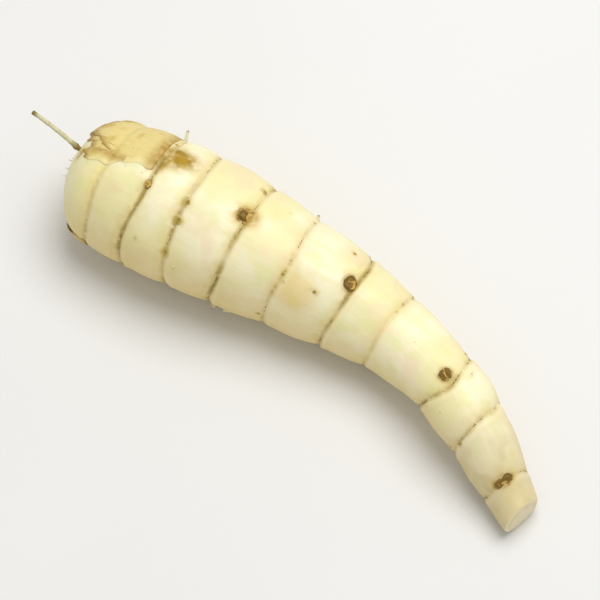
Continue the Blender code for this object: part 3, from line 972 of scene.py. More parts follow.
def dry_grit():
    """The fine unevenness of dry bark and scales, as a value and as a normal."""
    def fill(nodes, given, out):
        noise = nodes.noise(given["Coordinates"], given["Size"], 3.0, 0.6)
        nodes.link(noise, out["Grit"])
        nodes.link(nodes.bump(noise, 0.6, given["Depth"]), out["Normal"])
    return shader_group(
        "dry_grit", fill, {"Grit": "Float", "Normal": "Vector"}, Size=0.0005, Depth=0.0001
    )


def new_material(name, roughness, specular):
    material = bpy.data.materials.new(name)
    material.use_nodes = True
    shader = material.node_tree.nodes["Principled BSDF"].inputs
    shader["Roughness"].default_value = roughness
    shader["Specular IOR Level"].default_value = specular
    return material, Nodes(material.node_tree), shader


def keep(piece, *stood_for):
    """Puts a finished piece on the tuber's body in the frame."""
    if stood_for:
        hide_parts(*stood_for)
    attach(piece, BODY)


def eye_places():
    """Each eye's place and angle on the skin."""
    return [(ring_at(ring, angle) - back, angle) for ring, angle, back, *look in EYES]


def spot_distance(points, spots):
    """How far each point is from each spot of the skin, where 1 is that spot's edge.

    A spot is its place, its angle, and half its length and width.
    """
    distances = []
    for place, angle, half_length, half_width in spots:
        centre, *axes = (values[0] for values in skin_frames(place, angle))
        half_sizes = (half_length, half_width, half_width)
        parts = [(points - centre) @ axis / half for axis, half in zip(axes, half_sizes)]
        distances.append(np.sqrt(sum(part**2 for part in parts)))
    return np.stack(distances)


def scar_places(settings):
    """The named scars, then the seeded ones beside the rings on the sides turned away."""
    random = np.random.default_rng(settings.seed)
    places = list(ROOT_SCARS)
    for ring in range(len(RINGS)):
        for angle in np.radians(random.uniform(*SCAR_SIDES, settings.count)):
            place = ring_at(ring, angle) - random.uniform(*SCAR_OFFSET) * MM
            places.append((place, angle, settings.width * random.uniform(*SCAR_SPREAD)))
    return places


def skin_masks(grid, plain, scars):
    """What the skin's relief and tones go by, for each of its points."""
    place, angle, radius = grid["place"], grid["angle"], grid["radius"]
    past, ahead, mark = grid["past"], grid["ahead"], grid["mark"]
    eyes = spot_distance(plain, [
        (*where, length / 2, width / 2)
        for where, (*_, length, width, turn, glow, look) in zip(eye_places(), EYES)
    ])
    smudges = spot_distance(plain, [(*where, width / 2, width / 2) for *where, width in scars])
    distances = {
        "eye_glow": eyes,
        "smudge": smudges.min(axis=0),
        "leaf_stain": spot_distance(plain, [stain for *stain, strength in LEAF_STAINS_AND_SHADOWS]),
        "yellowing": spot_distance(plain, [YELLOWING])[0],
        "crown": place,
        # Painted shade, darker and yellower low on the sides.
        "flank": np.sin(angle),
    }
    masks = {
        name: smooth_step((FADES[name][0] - distance) / FADES[name][1])
        for name, distance in distances.items()
    }
    glows = [glow for *_, glow, look in EYES]
    strengths = [strength for *_, strength in LEAF_STAINS_AND_SHADOWS]
    for name, amounts in (("eye_glow", glows), ("leaf_stain", strengths)):
        masks[name] = (np.array(amounts)[:, None, None] * masks[name]).max(axis=0)
    # The olive beside each ring, strongest on its crown side: partly the ring's stain, partly
    # painted shade.
    stain = np.exp(-ahead / STAIN_AND_SHADE_BEFORE) + STAIN_AND_SHADE_PAST_SHARE * np.exp(-past / STAIN_AND_SHADE_PAST)
    return {
        **masks,
        "grain": np.stack([place, radius * np.cos(angle), radius * np.sin(angle)], axis=-1),
        "ring_near": np.minimum(past, ahead),
        # Painted highlight along each ring's ridge.
        "ring_lip": soft_ring(past, RIDGE_OFFSET, RIDGE_WIDTH),
        "ring_stain": stain * mark,
        "ring_mark": mark,
        "eye_near": eyes.min(axis=0),
        "tip": smooth_step((place - TIP_TONE_FROM) / TIP_TONE_RISE),
        "cut": grid["cut"],
        "cut_reach": grid["reach"],
        "stalk": grid["stalk"],
    }


def body_mesh(settings, scars):
    grid = skin_rows(settings.sectors, settings.rows, settings.crown_rows)
    place, angle, radius = grid["place"], grid["angle"], grid["radius"]
    masks = skin_masks(grid, surface_point(place, angle, radius), scars)
    cushion = CUSHION_HEIGHT * soft_ring(masks["eye_near"], 0.0, 2 * CUSHION_REACH)
    points = surface_point(place, angle, radius + cushion)
    attributes = {name: with_ends(values) for name, values in masks.items()}
    return new_piece("tuber_body", with_ends(points), tube_faces(*place.shape), attributes)


def skin_material(settings):
    material, nodes, shader = new_material("waxy_skin", settings.roughness, 0.4)
    where = nodes.vector("ADD", nodes.here(), (0.0, 0.0, 0.1 * settings.seed))
    grain, attribute, between = nodes.attribute("grain", "Vector"), nodes.attribute, nodes.between
    blotches, fine = soft_blotches(), dark_specks()

    def patches(size, low=0.45, high=0.66, detail=2.0):
        return nodes.effect(
            blotches, Coordinates=where, Size=size * MM, Low=low, High=high, Detail=detail
        )["Mask"]

    def specks(spacing, radius, share):
        return nodes.effect(
            fine, Coordinates=where, Spacing=spacing * MM, Radius=radius * MM, Share=share
        )["Mask"]

    uneven = patches(3, 0.35, 0.65, 3.0)

    def uneven_mask(mask, low, high):
        """The mask, weakened where the fine patches fall below the high limit."""
        return nodes.times(mask, between(uneven, low, high))

    streaks = nodes.effect(long_streaks(), Coordinates=grain, Width=1.3 * MM, Stretch=0.06)
    ring_near, cut, reach = attribute("ring_near"), attribute("cut"), attribute("cut_reach")
    # A brown rim round each eye, partly painted shade at the bud's foot.
    eye_rim_shade = between(attribute("eye_near"), 1.45, 0.95)
    # The stain at the largest leaf scale's root and its darker core are partly painted shadow.
    leaf_stain = uneven_mask(attribute("leaf_stain"), -1.0, 0.9)
    core = nodes.times(between(leaf_stain, 0.5, 1.0), patches(2.2, 0.36, 0.66, 3.0))
    broken = nodes.times(patches(2.4, 0.3, 0.5, 3.0), attribute("ring_mark"))
    fibres = specks(0.9, 0.22, 0.5)
    cut_ring = nodes.times(between(reach, 0.62, 0.74), between(reach, 0.86, 0.75))
    inward = attribute("stalk")
    scar = between(nodes.plus(inward, nodes.times(uneven, -0.12)), 0.0, 0.08)
    colour = nodes.layered(
        settings.cream,
        # The skin's own tones, with painted shade low on the sides and beside the rings, and a
        # painted highlight along each ring.
        (patches(20, 0.46, 0.64), 0.55, settings.straw),
        (patches(11, 0.5, 0.68), 0.5, settings.blush),
        (patches(6, 0.47, 0.66), 0.5, settings.green),
        (streaks["Mask"], 0.3, settings.straw),
        (attribute("crown"), 0.5, settings.straw),
        # Painted warm shade low on the sides, with some of the underside's tan.
        (attribute("flank"), 0.65, settings.flank),
        (attribute("yellowing"), 0.55, settings.flank),
        # Painted shade in the dips beside the rings.
        (between(ring_near, 4 * MM, 0.0), 0.3, settings.flank),
        (nodes.times(attribute("tip"), between(patches(9), -1.8, 1.2)), 1.1, settings.tip),
        # Painted highlight along each ring's ridge.
        (attribute("ring_lip"), 0.2, settings.lip),
        # The stains of rings, scars, eyes and the largest leaf scale. Beside the rings and round
        # the eyes they are partly painted shade, and at that scale's root partly painted shadow.
        # Partly the ring's stain, partly painted shade beside it.
        (nodes.times(attribute("ring_stain"), uneven), 0.8, settings.olive),
        (uneven_mask(attribute("smudge"), -0.5, 1.0), 1.0, settings.olive),
        (uneven_mask(attribute("eye_glow"), -0.8, 0.8), 0.9, settings.glow),
        # Brown round each eye, partly painted shade at its foot.
        (uneven_mask(eye_rim_shade, -0.6, 0.9), 0.6, settings.ring_brown),
        # The stain at the largest scale's root, partly painted shadow, with a darker core.
        (leaf_stain, 1.0, settings.stain_and_shadow_brown),
        (core, 0.6, [0.5 * part for part in settings.stain_and_shadow_brown]),
        (nodes.times(between(ring_near, 1.25 * MM, 0.1 * MM), broken), 0.9, settings.ring_brown),
        (specks(5, 0.5, 0.4), 0.45, settings.olive),
        # The cut face, with its fibres and its ring.
        (cut, 0.9, settings.flesh),
        (nodes.times(fibres, nodes.times(between(reach, 0.74, 0.7), cut)), 0.5, settings.olive),
        (nodes.times(cut_ring, nodes.times(cut, uneven)), 0.5, settings.olive),
        # The stalk's scar.
        (scar, 0.75, settings.stalk),
        (nodes.times(scar, between(inward, 0.3, 0.1)), 0.7, settings.ring_brown),
        (nodes.times(fibres, scar), 0.8, settings.ring_brown),
    )
    nodes.link(colour, shader["Base Color"])

    sheen = nodes.times(nodes.math("SUBTRACT", uneven, 0.5), 0.12)
    nodes.link(nodes.plus(sheen, settings.roughness), shader["Roughness"])
    shader["Subsurface Weight"].default_value = 0.3
    shader["Subsurface Radius"].default_value = (1.0, 0.65, 0.28)
    shader["Subsurface Scale"].default_value = 3.5 * MM
    pores = nodes.effect(long_streaks(), Coordinates=grain, Width=0.6 * MM, Stretch=0.35)
    nodes.link(nodes.bump(pores["Height"], 0.3, 0.1 * MM), shader["Normal"])
    return material


def dry_material(name, roughness, grain_size):
    """A matt finish with its nodes, its grit, and the socket that takes its colour."""
    material, nodes, shader = new_material(name, roughness, 0.3)
    grit = nodes.effect(dry_grit(), Coordinates=nodes.here(), Size=grain_size, Depth=0.15 * MM)
    nodes.link(grit["Normal"], shader["Normal"])
    return material, nodes, grit["Grit"], shader["Base Color"]


def toned_material(name, settings, grain_size, roughness):
    """A dry finish whose tone, from dark to tan, is given point by point."""
    material, nodes, grit, base = dry_material(name, roughness, grain_size)
    shift = nodes.times(nodes.math("SUBTRACT", grit, 0.5), 1.1)
    tone = nodes.between(nodes.plus(nodes.attribute("tone"), shift), 0.05, 0.95)
    nodes.link(nodes.mix(tone, settings.dark, settings.tan), base)
    return material


def rootlet_material(settings):
    """Pale bark, darker in spots and at both ends."""
    material, nodes, grit, base = dry_material("rootlet_bark", 0.65, 0.8 * MM)
    part = nodes.attribute("share")
    ends = nodes.math("MAXIMUM", nodes.between(part, 0.32, 0.1), nodes.between(part, 0.9, 1.0))
    spots = nodes.times(nodes.between(grit, 0.5, 0.68), 0.4)
    dark = nodes.math("ADD", ends, spots, clamp=True)
    nodes.link(nodes.mix(dark, settings.pale, settings.dark), base)
    return material


def paper_material(settings):
    material, nodes, shader = new_material("scale_paper", 0.5, 0.35)
    where, fibre = nodes.here(), nodes.attribute("fibre", "Vector")
    streaks = nodes.effect(long_streaks(), Coordinates=fibre, Width=0.4 * MM, Stretch=0.08)
    blotches = nodes.effect(
        soft_blotches(), Coordinates=where, Size=5 * MM, Low=0.48, High=0.7, Detail=3.0
    )
    specks = nodes.effect(
        dark_specks(), Coordinates=where, Spacing=2.4 * MM, Radius=0.35 * MM, Share=0.5
    )
    uneven = nodes.noise(where, 1.6 * MM, 3.0)

    def edge(name, waver, inner, outer):
        """1 at an edge of the paper and 0 further in, with a wavering line between."""
        distance = nodes.plus(nodes.attribute(name), nodes.times(uneven, -waver * MM))
        return nodes.between(distance, inner * MM, outer * MM)

    colour = nodes.layered(
        settings.tan,
        (streaks["Mask"], 0.55, settings.vein),
        (blotches["Mask"], 0.9, settings.vein),
        (specks["Mask"], 0.4, settings.brown),
        (edge("side", 3, 1.5, -1.5), 0.8, settings.skin),
        # Brown torn edges; along the crack between the two largest scales this brown is painted
        # shade.
        (edge("torn", 1.8, 1.9, -0.7), 0.8, settings.brown),
        # The brown at a scale's root; at the largest scale partly painted shadow.
        (nodes.times(nodes.attribute("root"), uneven), 1.5, settings.brown),
    )
    nodes.link(colour, shader["Base Color"])
    nodes.link(nodes.bump(streaks["Height"], 0.5, 0.15 * MM), shader["Normal"])
    return material


class TUBER_OT_body(bpy.types.Operator):
    """Grow the ringed body, from the blunt crown to the cut tip"""

    bl_idname = "tuber.body"
    bl_label = "Ringed Body"

    def execute(self, context):
        settings = context.scene.tuber_body
        mesh = body_mesh(settings, scar_places(context.scene.tuber_scars))
        piece = grown(
            mesh, skin_relief_tree(),
            Lump_Height=settings.lump_height, Lump_Size=settings.lump_size,
            Dent_Height=settings.dent_height, Dent_Size=settings.dent_size,
            Streak_Height=settings.streak_height, Pucker_Height=settings.pucker_height,
            Seed=settings.seed, Material=skin_material(settings),
        )
        keep(piece, NODE)
        return {"FINISHED"}


def skin_surface():
    """The finished body's surface, for setting the other pieces on it."""
    return BVHTree.FromObject(bpy.data.objects["tuber_body"], bpy.context.evaluated_depsgraph_get())


def on_skin(surface, place, angle):
    """Points of the finished skin, its normals and the directions to the crown there."""
    points, along, round_it, outward = skin_frames(place, angle)
    hits = [surface.find_nearest(Vector(point)) for point in points.reshape(-1, 3)]
    spots, normals = (np.array(values) for values in zip(*(hit[:2] for hit in hits)))
    return spots.reshape(points.shape), normals.reshape(points.shape), -along


def path_piece(name, chains):
    """Lines of points for a tree to follow. Each chain lists its points, widths and shares."""
    lines, widths, shares = (np.concatenate([chain[part] for chain in chains]) for part in range(3))
    edges, first = [], 0
    for line, *_ in chains:
        edges += [(i, i + 1) for i in range(first, first + len(line) - 1)]
        first += len(line)
    return new_piece(name, lines, [], {"width": widths, "share": shares, "tone": shares}, edges)


def spot_piece(name, spots):
    """Loose points for a tree. Each spot lists its point, outward, forward, size and turn."""
    values = [np.array(part) for part in zip(*spots)]
    attributes = dict(zip(("outward", "forward", "size", "turn"), values[1:]))
    return new_piece(name, values[0], [], attributes)


def clear_spots(rows, size_of):
    """Spots for rows of place, angle and width, apart from those that the tuber lies on."""
    places, angles, widths = (np.array(values) for values in zip(*rows))
    frames = zip(*on_skin(skin_surface(), places, angles), widths)
    return [(*here, size_of(width), 0.0) for *here, width in frames if here[0][2] > LOWEST_POINT]


def set_copies(name, spots, template, **values):
    """Sets copies of a template on spots of the skin and removes the template."""
    piece = grown(spot_piece(name, spots), spot_tree(), Template=template, **values)
    bpy.data.objects.remove(template)
    return piece


def disc_template(name, height, rows, around):
    """A round thing of unit radius, whose rim is sunk. height(x, y) gives heights and tones."""
    reach = np.linspace(1, 0, rows, endpoint=False)
    turn = np.arange(around) * 2 * math.pi / around
    x, y = reach[:, None] * np.cos(turn), reach[:, None] * np.sin(turn)
    z, tone = height(x, y)
    z[0] = RIM_SUNK
    points = with_ends(np.stack([x, y, z], axis=-1))
    return new_piece(name, points, tube_faces(rows, around), {"tone": with_ends(tone)})


def bud_height(plates):
    """The height and tone of a bud whose scales overlap as the plates say."""
    def height(x, y):
        reach = np.hypot(x, y)
        z = BUD_DOME * np.sqrt(np.clip(1 - reach**2, 0.0, 1.0))
        tone = 0.5 + 0 * reach
        ray = np.cos(BUD_RAYS * np.arctan2(y, x) + BUD_RAY_TWIST * reach)
        for across, aside, half_length, half_width, rise, shade in plates:
            inside = 1 - np.hypot((x - across) / half_length, (y - aside) / half_width)
            cover = smooth_step(inside / BUD_SCALE_EDGE + 0.5)
            z = z + rise * cover
            tone = tone + (shade - tone) * cover - 0.4 * soft_ring(inside, 0.0, 0.1)
        return z + BUD_RAY_HEIGHT * ray * reach, np.clip(tone + BUD_RAY_TONE * ray, 0.0, 1.0)
    return height


def scar_height(x, y):
    """A low rim round a dry pit."""
    reach = np.hypot(x, y)
    rim, floor = 0.55 * soft_ring(reach, 0.62, 0.25), 0.3 * (1 - reach) - 0.1
    return rim + floor, smooth_step((reach - 0.3) / 0.9)


def shred_template(name, rows, columns, ragged, rise):
    """A thin torn strip of unit length along +X, curling up at its end."""
    along, across = np.linspace(0, 1, rows)[:, None], np.linspace(-0.5, 0.5, columns)
    tear = 1 - ragged * np.abs(np.sin(5.1 * across + 0.6))
    y = across * (1 - 0.55 * along**2)
    z = 0.15 + rise * along**2 * (1 - 0.6 * across**2)
    upper = np.stack([along * tear, y, z + 0 * y], axis=-1).reshape(-1, 3)
    points = np.concatenate([upper, upper - [0, 0, SHRED_THICKNESS]])
    tone = np.tile((1 - along**3 + 0 * y).ravel(), 2)
    return new_piece(name, points, sheet_faces(rows, columns), {"tone": tone})


class TUBER_OT_rings(bpy.types.Operator):
    """Lay the dry rims in the rings' grooves, with their torn fringe"""

    bl_idname = "tuber.rings"
    bl_label = "Ring Rims"

    def dashes(self, surface, settings, random):
        """The broken stretches of each ring's dry rim, sunk so that they show half their width."""
        for ring in range(len(RINGS)):
            angle = random.uniform(0, 0.3)
            while angle < 2 * math.pi:
                reach, gap = random.uniform(*DASH_REACH), random.uniform(*DASH_GAP)
                mark = ring_mark(ring, np.array([angle + reach / 2]))[0]
                if random.uniform(0, 1) < DASH_SHARE * mark:
                    turns = np.linspace(angle, angle + reach, max(4, int(reach / DASH_STEP)))
                    spots, outward, _ = on_skin(surface, ring_place(ring, turns), turns)
                    part = np.linspace(0, 1, len(turns))
                    width = settings.rim_width * random.uniform(*DASH_WIDTH) * (0.4 + 0.6 * mark)
                    width = width * (0.2 + 0.8 * np.sin(math.pi * part) ** 0.6)
                    tone = np.full(len(turns), random.uniform(*DASH_TONE))
                    yield spots - outward * DASH_SUNK * width[:, None], width, tone
                angle += reach + gap

    def shreds(self, surface, settings, random):
        """Where torn shreds lie on the rims, pointing to the crown."""
        for ring in range(len(RINGS)):
            spacing = settings.fringe_spacing / plain_radius(RINGS[ring][0])
            turns = np.arange(0, 2 * math.pi, spacing)
            turns = turns + random.uniform(*SHRED_SHIFT, len(turns)) * spacing
            kept = random.uniform(0, 1, len(turns)) < SHRED_SHARE * ring_mark(ring, turns) ** 1.5
            turns = turns[kept]
            place = ring_place(ring, turns) + 0.1 * MM
            for point, outward, forward in zip(*on_skin(surface, place, turns)):
                if point[2] > LOWEST_POINT:
                    length = random.uniform(*SHRED_LENGTH) * settings.fringe_length
                    width = random.uniform(*SHRED_WIDTH) * MM
                    yield point, outward, forward, (length, width, 0.22 * MM), 0.0

    def execute(self, context):
        settings = context.scene.tuber_rings
        surface, random = skin_surface(), np.random.default_rng(settings.seed)
        material = toned_material("dry_rim", settings, 0.7 * MM, 0.7)
        keep(grown(
            path_piece("ring_rims", list(self.dashes(surface, settings, random))), path_tree(),
            Step=0.35 * MM, Sides=6, Wrinkle=0.8, Wrinkle_Size=0.9 * MM, Stray=0.15 * MM,
            Seed=settings.seed, Material=material,
        ))
        keep(set_copies(
            "ring_fringe", list(self.shreds(surface, settings, random)),
            shred_template("shred_template", rows=6, columns=4, ragged=0.3, rise=1.0),
            Size_Spread=0.3, Turn_Spread=0.5, Wrinkle=0.05 * MM, Wrinkle_Size=0.5 * MM,
            Seed=settings.seed, Material=material,
        ))
        return {"FINISHED"}


class TUBER_OT_eyes(bpy.types.Operator):
    """Set the scaly buds on the rings"""

    bl_idname = "tuber.eyes"
    bl_label = "Eyes"

    def execute(self, context):
        settings = context.scene.tuber_eyes
        material = toned_material("bud_scales", settings, 0.6 * MM, 0.6)
        places, angles = (np.array(values) for values in zip(*eye_places()))
        frames = list(zip(*on_skin(skin_surface(), places, angles)))
        for look, plates in EYE_LOOKS.items():
            spots = [
                (*here, (length / 2, width / 2, settings.height), turn)
                for here, (*_, length, width, turn, glow, own_look) in zip(frames, EYES)
                if own_look == look
            ]
            keep(set_copies(
                look + "_eyes", spots,
                disc_template("bud_template", bud_height(plates), rows=28, around=56),
                Size_Spread=0.04, Turn_Spread=0.15, Wrinkle=settings.wrinkle, Wrinkle_Size=0.8 * MM,
                Warp=settings.warp, Warp_Size=1.6 * MM, Seed=settings.seed, Material=material,
            ))
        return {"FINISHED"}


class TUBER_OT_scars(bpy.types.Operator):
    """Set the small scars of lost roots beside the rings"""

    bl_idname = "tuber.scars"
    bl_label = "Root Scars"

    def execute(self, context):
        settings = context.scene.tuber_scars
        keep(set_copies(
            "root_scars",
            clear_spots(
                scar_places(settings), lambda width: (0.42 * width, 0.5 * width, 0.25 * MM)
            ),
            disc_template("scar_template", scar_height, rows=8, around=18),
            Size_Spread=0.15, Turn_Spread=1.0, Wrinkle=0.06 * MM, Wrinkle_Size=0.5 * MM,
            Warp=0.25 * MM, Warp_Size=0.9 * MM, Seed=settings.seed,
            Material=toned_material("scar_bark", settings, 0.4 * MM, 0.7),
        ))
        return {"FINISHED"}


class TUBER_OT_rootlets(bpy.types.Operator):
    """Grow the broken root hair, the rootlet stubs and the fibres of the stalk"""

    bl_idname = "tuber.rootlets"
    bl_label = "Rootlets"

    def chain(self, place, angle, length, thickness, lean, curl, end=ROOTLET_END, steps=14):
        """A rootlet's path, widths and shares, from its root in the skin to its broken end."""
        point, along, round_it, outward = (values[0] for values in skin_frames(place, angle))
        away = outward - along * lean
        away /= np.linalg.norm(away)
        part = np.linspace(0, 1, steps + 1)
        from_skin = (length + ROOTLET_SUNK) * part
        line = point - outward * ROOTLET_SUNK + away * from_skin[:, None]
        aside = (round_it + ROOTLET_DROOP * np.cross(away, round_it)) * curl * length
        line = line + aside * part[:, None] ** 2
        foot = ROOTLET_FOOT * soft_ring(from_skin - ROOTLET_SUNK, 0.0, 0.8 * MM)
        return line, thickness * (1 + (end - 1) * part + foot), part

    def stalk_fibres(self, surface, settings, random):
        """Short fibres that stand on the scar of the stalk."""
        middle, (along, side, over) = spine_point(-8 * MM), spine_axes(0.0)
        draws = [random.uniform(0, highest, settings.fibres) for highest in (1, 7)]
        for reach, turn in zip(*draws):
            outward = side * math.cos(turn) + over * math.sin(turn)
            start = middle + outward * (STALK_FIBRES_REACH * STALK_SCAR * math.sqrt(reach))
            root = np.array(surface.ray_cast(Vector(start), Vector(along))[0])
            away = -along + outward * random.uniform(*STALK_FIBRE_LEAN)
            part = np.linspace(0, 1, 6)
            away = away * (random.uniform(*STALK_FIBRE_LENGTH) * MM)
            line = root + away * part[:, None] + along * 0.5 * MM
            yield line, random.uniform(*STALK_FIBRE_WIDTH) * MM * (1 - 0.6 * part), part

    def execute(self, context):
        settings = context.scene.tuber_rootlets
        surface, material = skin_surface(), rootlet_material(settings)
        random = np.random.default_rng(settings.seed)
        for name, chains, sides in (
            ("root_hair", [self.chain(*ROOT_HAIR, end=ROOT_HAIR_END)], 14),
            ("rootlet_stubs", [self.chain(*rootlet) for rootlet in ROOTLETS], 14),
            ("stalk_fibres", list(self.stalk_fibres(surface, settings, random)), 6),
        ):
            keep(grown(
                path_piece(name, chains), path_tree(), Step=0.3 * MM, Sides=sides,
                Wrinkle=settings.wrinkle, Wrinkle_Size=1.6 * MM, Stray=0.12 * MM,
                Seed=settings.seed, Material=material,
            ))
        return {"FINISHED"}


class TUBER_OT_scales(bpy.types.Operator):
    """Wrap the torn leaf scales round the crown"""

    bl_idname = "tuber.scales"
    bl_label = "Leaf Scales"

    def sheet(self, surface, settings, sizes, layer, rows=40, columns=90):
        """One papery scale: its points, and its fibre direction and distances at each point."""
        place, middle, half_width, length, rise, flare, rounding = sizes
        part, side = np.linspace(0, 1, rows)[:, None], np.linspace(-1, 1, columns)
        tears = sum(
            depth * np.sin(count * 3 * side + turn + layer) for count, turn, depth in SCALE_TEARS
        )
        reach = length * (SCALE_WHOLE + tears) * (1 - rounding * side**2)
        waver = 0.05 * np.sin(9 * part + 2 * middle) + 0.03 * np.sin(23 * part + layer)
        spread = side * (1 + flare * (part - 0.5) + waver * np.abs(side) ** 3)
        angle = middle + half_width * spread
        end = np.maximum(place - reach * part, 0.8 * MM)
        spots, outward, _ = on_skin(surface, end, angle)
        around = half_width * plain_radius(place)
        held = 1 - side**4
        lift = SCALE_GAP + (SCALE_BULGE + SCALE_LAYER * layer) * held
        lift = lift + (rise - 0.1 * MM) * part**3 * held * (0.7 + 0.3 * np.sin(8 * angle))
        ribs = np.cos(around / settings.rib_spacing * math.pi * side)
        lift = lift + settings.rib_height * ribs * held
        thickness = settings.thickness * (1 + 2 * (part < 0.08))
        upper, lower = (spots + outward * height[..., None] for height in (lift, lift - thickness))
        points = np.concatenate([upper.reshape(-1, 3), lower.reshape(-1, 3)])
        points[:, 2] = np.maximum(points[:, 2], 0.0)
        torn, flank = (1 - part) * reach, (1 - np.abs(side)) * around + 0 * part
        if layer < 2:  # the two largest scales, which meet at a crack
            over, over_middle, over_half_width = SCALES[1][:3]
            # Painted shade along the crack where the two largest scales meet: the torn edges' brown
            # is carried along it.
            crack = np.abs(angle - over_middle - over_half_width) * around / half_width
            past = np.maximum(place - reach * part - over, 0.0)
            torn = np.minimum(torn, CRACK_SHADE + 0.8 * crack + 3 * past)
            flank = flank + layer * around
        values = {
            "fibre": np.stack([part * reach, side * around + 0 * part, 0 * part * side], axis=-1),
            "torn": torn,
            "side": flank,
            # The brown at a scale's root; at the largest scale partly painted shadow.
            "root": smooth_step(1 - part * reach / SCALE_ROOT_TONE) * (layer != 1),
        }
        flat = {name: value.reshape(rows * columns, -1).squeeze() for name, value in values.items()}
        values = {name: np.concatenate([value, value]) for name, value in flat.items()}
        return points, sheet_faces(rows, columns), values

    def loose_fibres(self, surface, settings, random):
        """Loose fibres that go on past the torn ends of the scales."""
        part = np.linspace(0, 1, 8)
        for place, middle, half_width, length, rise, flare, rounding in SCALES:
            for side in random.uniform(*FIBRE_SIDE, settings.fibres):
                start = place - length * (1 - rounding * side**2) * random.uniform(*FIBRE_START)
                reach, stray = random.uniform(*FIBRE_REACH) * MM, random.uniform(*FIBRE_STRAY)
                places = np.maximum(start - reach * part, 0.5 * MM)
                angles = middle + half_width * side + stray * part**2
                spots, outward, _ = on_skin(surface, places, angles)
                line = spots + outward * (0.25 * MM + 0.8 * rise * part**2)[:, None]
                yield line, random.uniform(*FIBRE_WIDTH) * MM * (1 - 0.7 * part), part

    def execute(self, context):
        settings = context.scene.tuber_scales
        surface, random = skin_surface(), np.random.default_rng(settings.seed)
        sheets = [
            self.sheet(surface, settings, sizes, layer) for layer, sizes in enumerate(SCALES)
        ]
        points, faces, values = zip(*sheets)
        firsts = np.cumsum([0] + [len(own) for own in points])
        all_faces = [
            tuple(int(first) + corner for corner in face)
            for first, own in zip(firsts, faces) for face in own
        ]
        all_values = {name: np.concatenate([own[name] for own in values]) for name in values[0]}
        piece = new_piece("scale_remains", np.concatenate(points), all_faces, all_values)
        material = paper_material(settings)
        piece.data.materials.append(material)
        keep(piece)
        keep(grown(
            path_piece("scale_fibres", list(self.loose_fibres(surface, settings, random))),
            path_tree(), Step=0.4 * MM, Sides=5, Wrinkle=0.2, Wrinkle_Size=0.8 * MM,
            Stray=0.2 * MM, Seed=settings.seed, Material=material,
        ))
        return {"FINISHED"}


class TUBER_OT_flakes(bpy.types.Operator):
    """Lift small flakes of thin skin"""

    bl_idname = "tuber.flakes"
    bl_label = "Skin Flakes"

    def execute(self, context):
        settings = context.scene.tuber_flakes
        random = np.random.default_rng(settings.seed)
        places = [LARGE_FLAKE]
        for _ in range(settings.count):
            ring, angle = random.integers(0, len(RINGS)), random.uniform(0, 2 * math.pi)
            place = ring_at(ring, angle) + random.uniform(*FLAKE_OFFSET) * MM
            places.append((place, angle, settings.length * random.uniform(*FLAKE_SPREAD)))
        keep(set_copies(
            "skin_flakes", clear_spots(places, lambda length: (length, 0.6 * length, 0.3 * MM)),
            shred_template("flake_template", rows=8, columns=7, ragged=0.45, rise=1.2),
            Size_Spread=0.2, Turn_Spread=3.0, Wrinkle=0.08 * MM, Wrinkle_Size=0.8 * MM,
            Warp=0.3 * MM, Warp_Size=1.2 * MM, Seed=settings.seed,
            Material=toned_material("thin_skin", settings, 0.8 * MM, 0.5),
        ))
        return {"FINISHED"}


def stage_floor(settings):
    corners = [(-1, -1, 0), (1, -1, 0), (1, 1, 0), (-1, 1, 0)]
    floor = new_piece("floor", [Vector(corner) * FLOOR_REACH for corner in corners], [(0, 1, 2, 3)])
    material, nodes, shader = new_material("pale_floor", 0.7, 0.2)
    cloud = nodes.effect(soft_blotches(), Coordinates=nodes.here(), Size=0.15)["Mask"]
    shade = [0.985 * part for part in settings.floor]
    nodes.link(nodes.mix(cloud, settings.floor, shade), shader["Base Color"])
    floor.data.materials.append(material)


def stage_light(settings):
    world = bpy.data.worlds.new("even_light")
    world.use_nodes = True
    background = world.node_tree.nodes["Background"].inputs
    background["Color"].default_value = (1.0, 1.0, 1.0, 1.0)
    background["Strength"].default_value = settings.sky
    bpy.context.scene.world = world
    light = bpy.data.lights.new("key", "AREA")
    light.shape = "DISK"
    light.size = LAMP_SIZE
    light.energy = settings.key
    lamp = in_scene("key", light, LAMP_PLACE)
    lamp.rotation_euler = (-lamp.location).to_track_quat("-Z", "Y").to_euler()


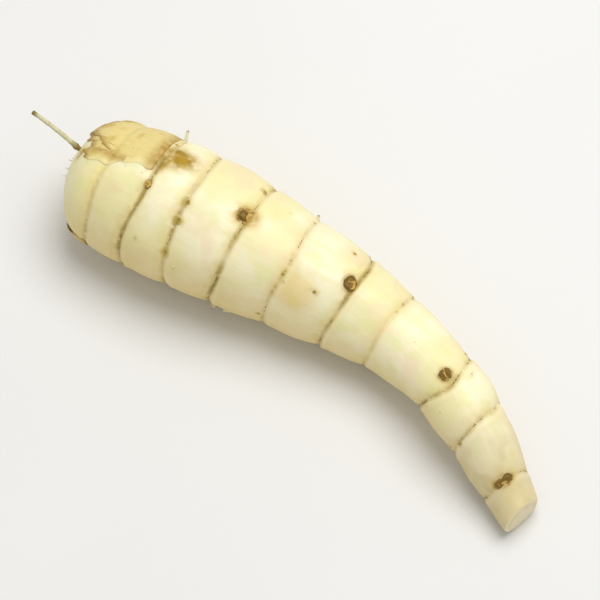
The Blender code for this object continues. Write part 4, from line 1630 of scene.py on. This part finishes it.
def stage_camera(settings):
    """Keeps the photograph's point of view and upright, and swings the camera to the tuber."""
    level = math.cos(settings.elevation)
    look = Vector((
        -math.sin(settings.azimuth) * level,
        math.cos(settings.azimuth) * level,
        -math.sin(settings.elevation),
    ))
    eye, target = Vector(settings.eye), Vector(settings.target)
    data = bpy.data.cameras.new("camera")
    data.lens = data.sensor_width / settings.width * (target - eye).length
    camera = in_scene("camera", data, eye)
    camera.rotation_mode = "QUATERNION"
    swing = look.rotation_difference(target - eye)
    camera.rotation_quaternion = swing @ look.to_track_quat("-Z", "Y")
    bpy.context.scene.camera = camera


class TUBER_OT_stage(bpy.types.Operator):
    """Set the pale floor, the soft light and the camera"""

    bl_idname = "tuber.stage"
    bl_label = "Stage"

    def execute(self, context):
        settings = context.scene.tuber_stage
        stage_floor(settings)
        stage_light(settings)
        stage_camera(settings)
        context.scene.view_settings.view_transform = "Standard"
        return {"FINISHED"}


STEPS = (
    (TUBER_OT_body, "tuber_body", BodySettings),
    (TUBER_OT_rings, "tuber_rings", RingSettings),
    (TUBER_OT_eyes, "tuber_eyes", EyeSettings),
    (TUBER_OT_scars, "tuber_scars", ScarSettings),
    (TUBER_OT_rootlets, "tuber_rootlets", RootSettings),
    (TUBER_OT_scales, "tuber_scales", ScaleSettings),
    (TUBER_OT_flakes, "tuber_flakes", FlakeSettings),
    (TUBER_OT_stage, "tuber_stage", StageSettings),
)


class TUBER_PT_panel(bpy.types.Panel):
    """Lists the tuber's pieces and their settings"""

    bl_idname = "TUBER_PT_panel"
    bl_label = "Arrowroot Tuber"
    bl_space_type = "VIEW_3D"
    bl_region_type = "UI"
    bl_category = "Tuber"

    def draw(self, context):
        for operator, group, kind in STEPS:
            box = self.layout.box()
            box.operator(operator.bl_idname)
            for name in kind.__annotations__:
                box.prop(getattr(context.scene, group), name)


CLASSES = (*(kind for _, _, kind in STEPS), *(operator for operator, _, _ in STEPS), TUBER_PT_panel)


def register():
    for kind in CLASSES:
        bpy.utils.register_class(kind)
    for operator, group, kind in STEPS:
        setattr(bpy.types.Scene, group, bpy.props.PointerProperty(type=kind))


def unregister():
    for operator, group, kind in STEPS:
        delattr(bpy.types.Scene, group)
    for kind in reversed(CLASSES):
        bpy.utils.unregister_class(kind)


def main():
    register()
    for operator, group, kind in STEPS:
        getattr(bpy.ops.tuber, operator.bl_idname.split(".")[1])()


if __name__ == "__main__":
    main()
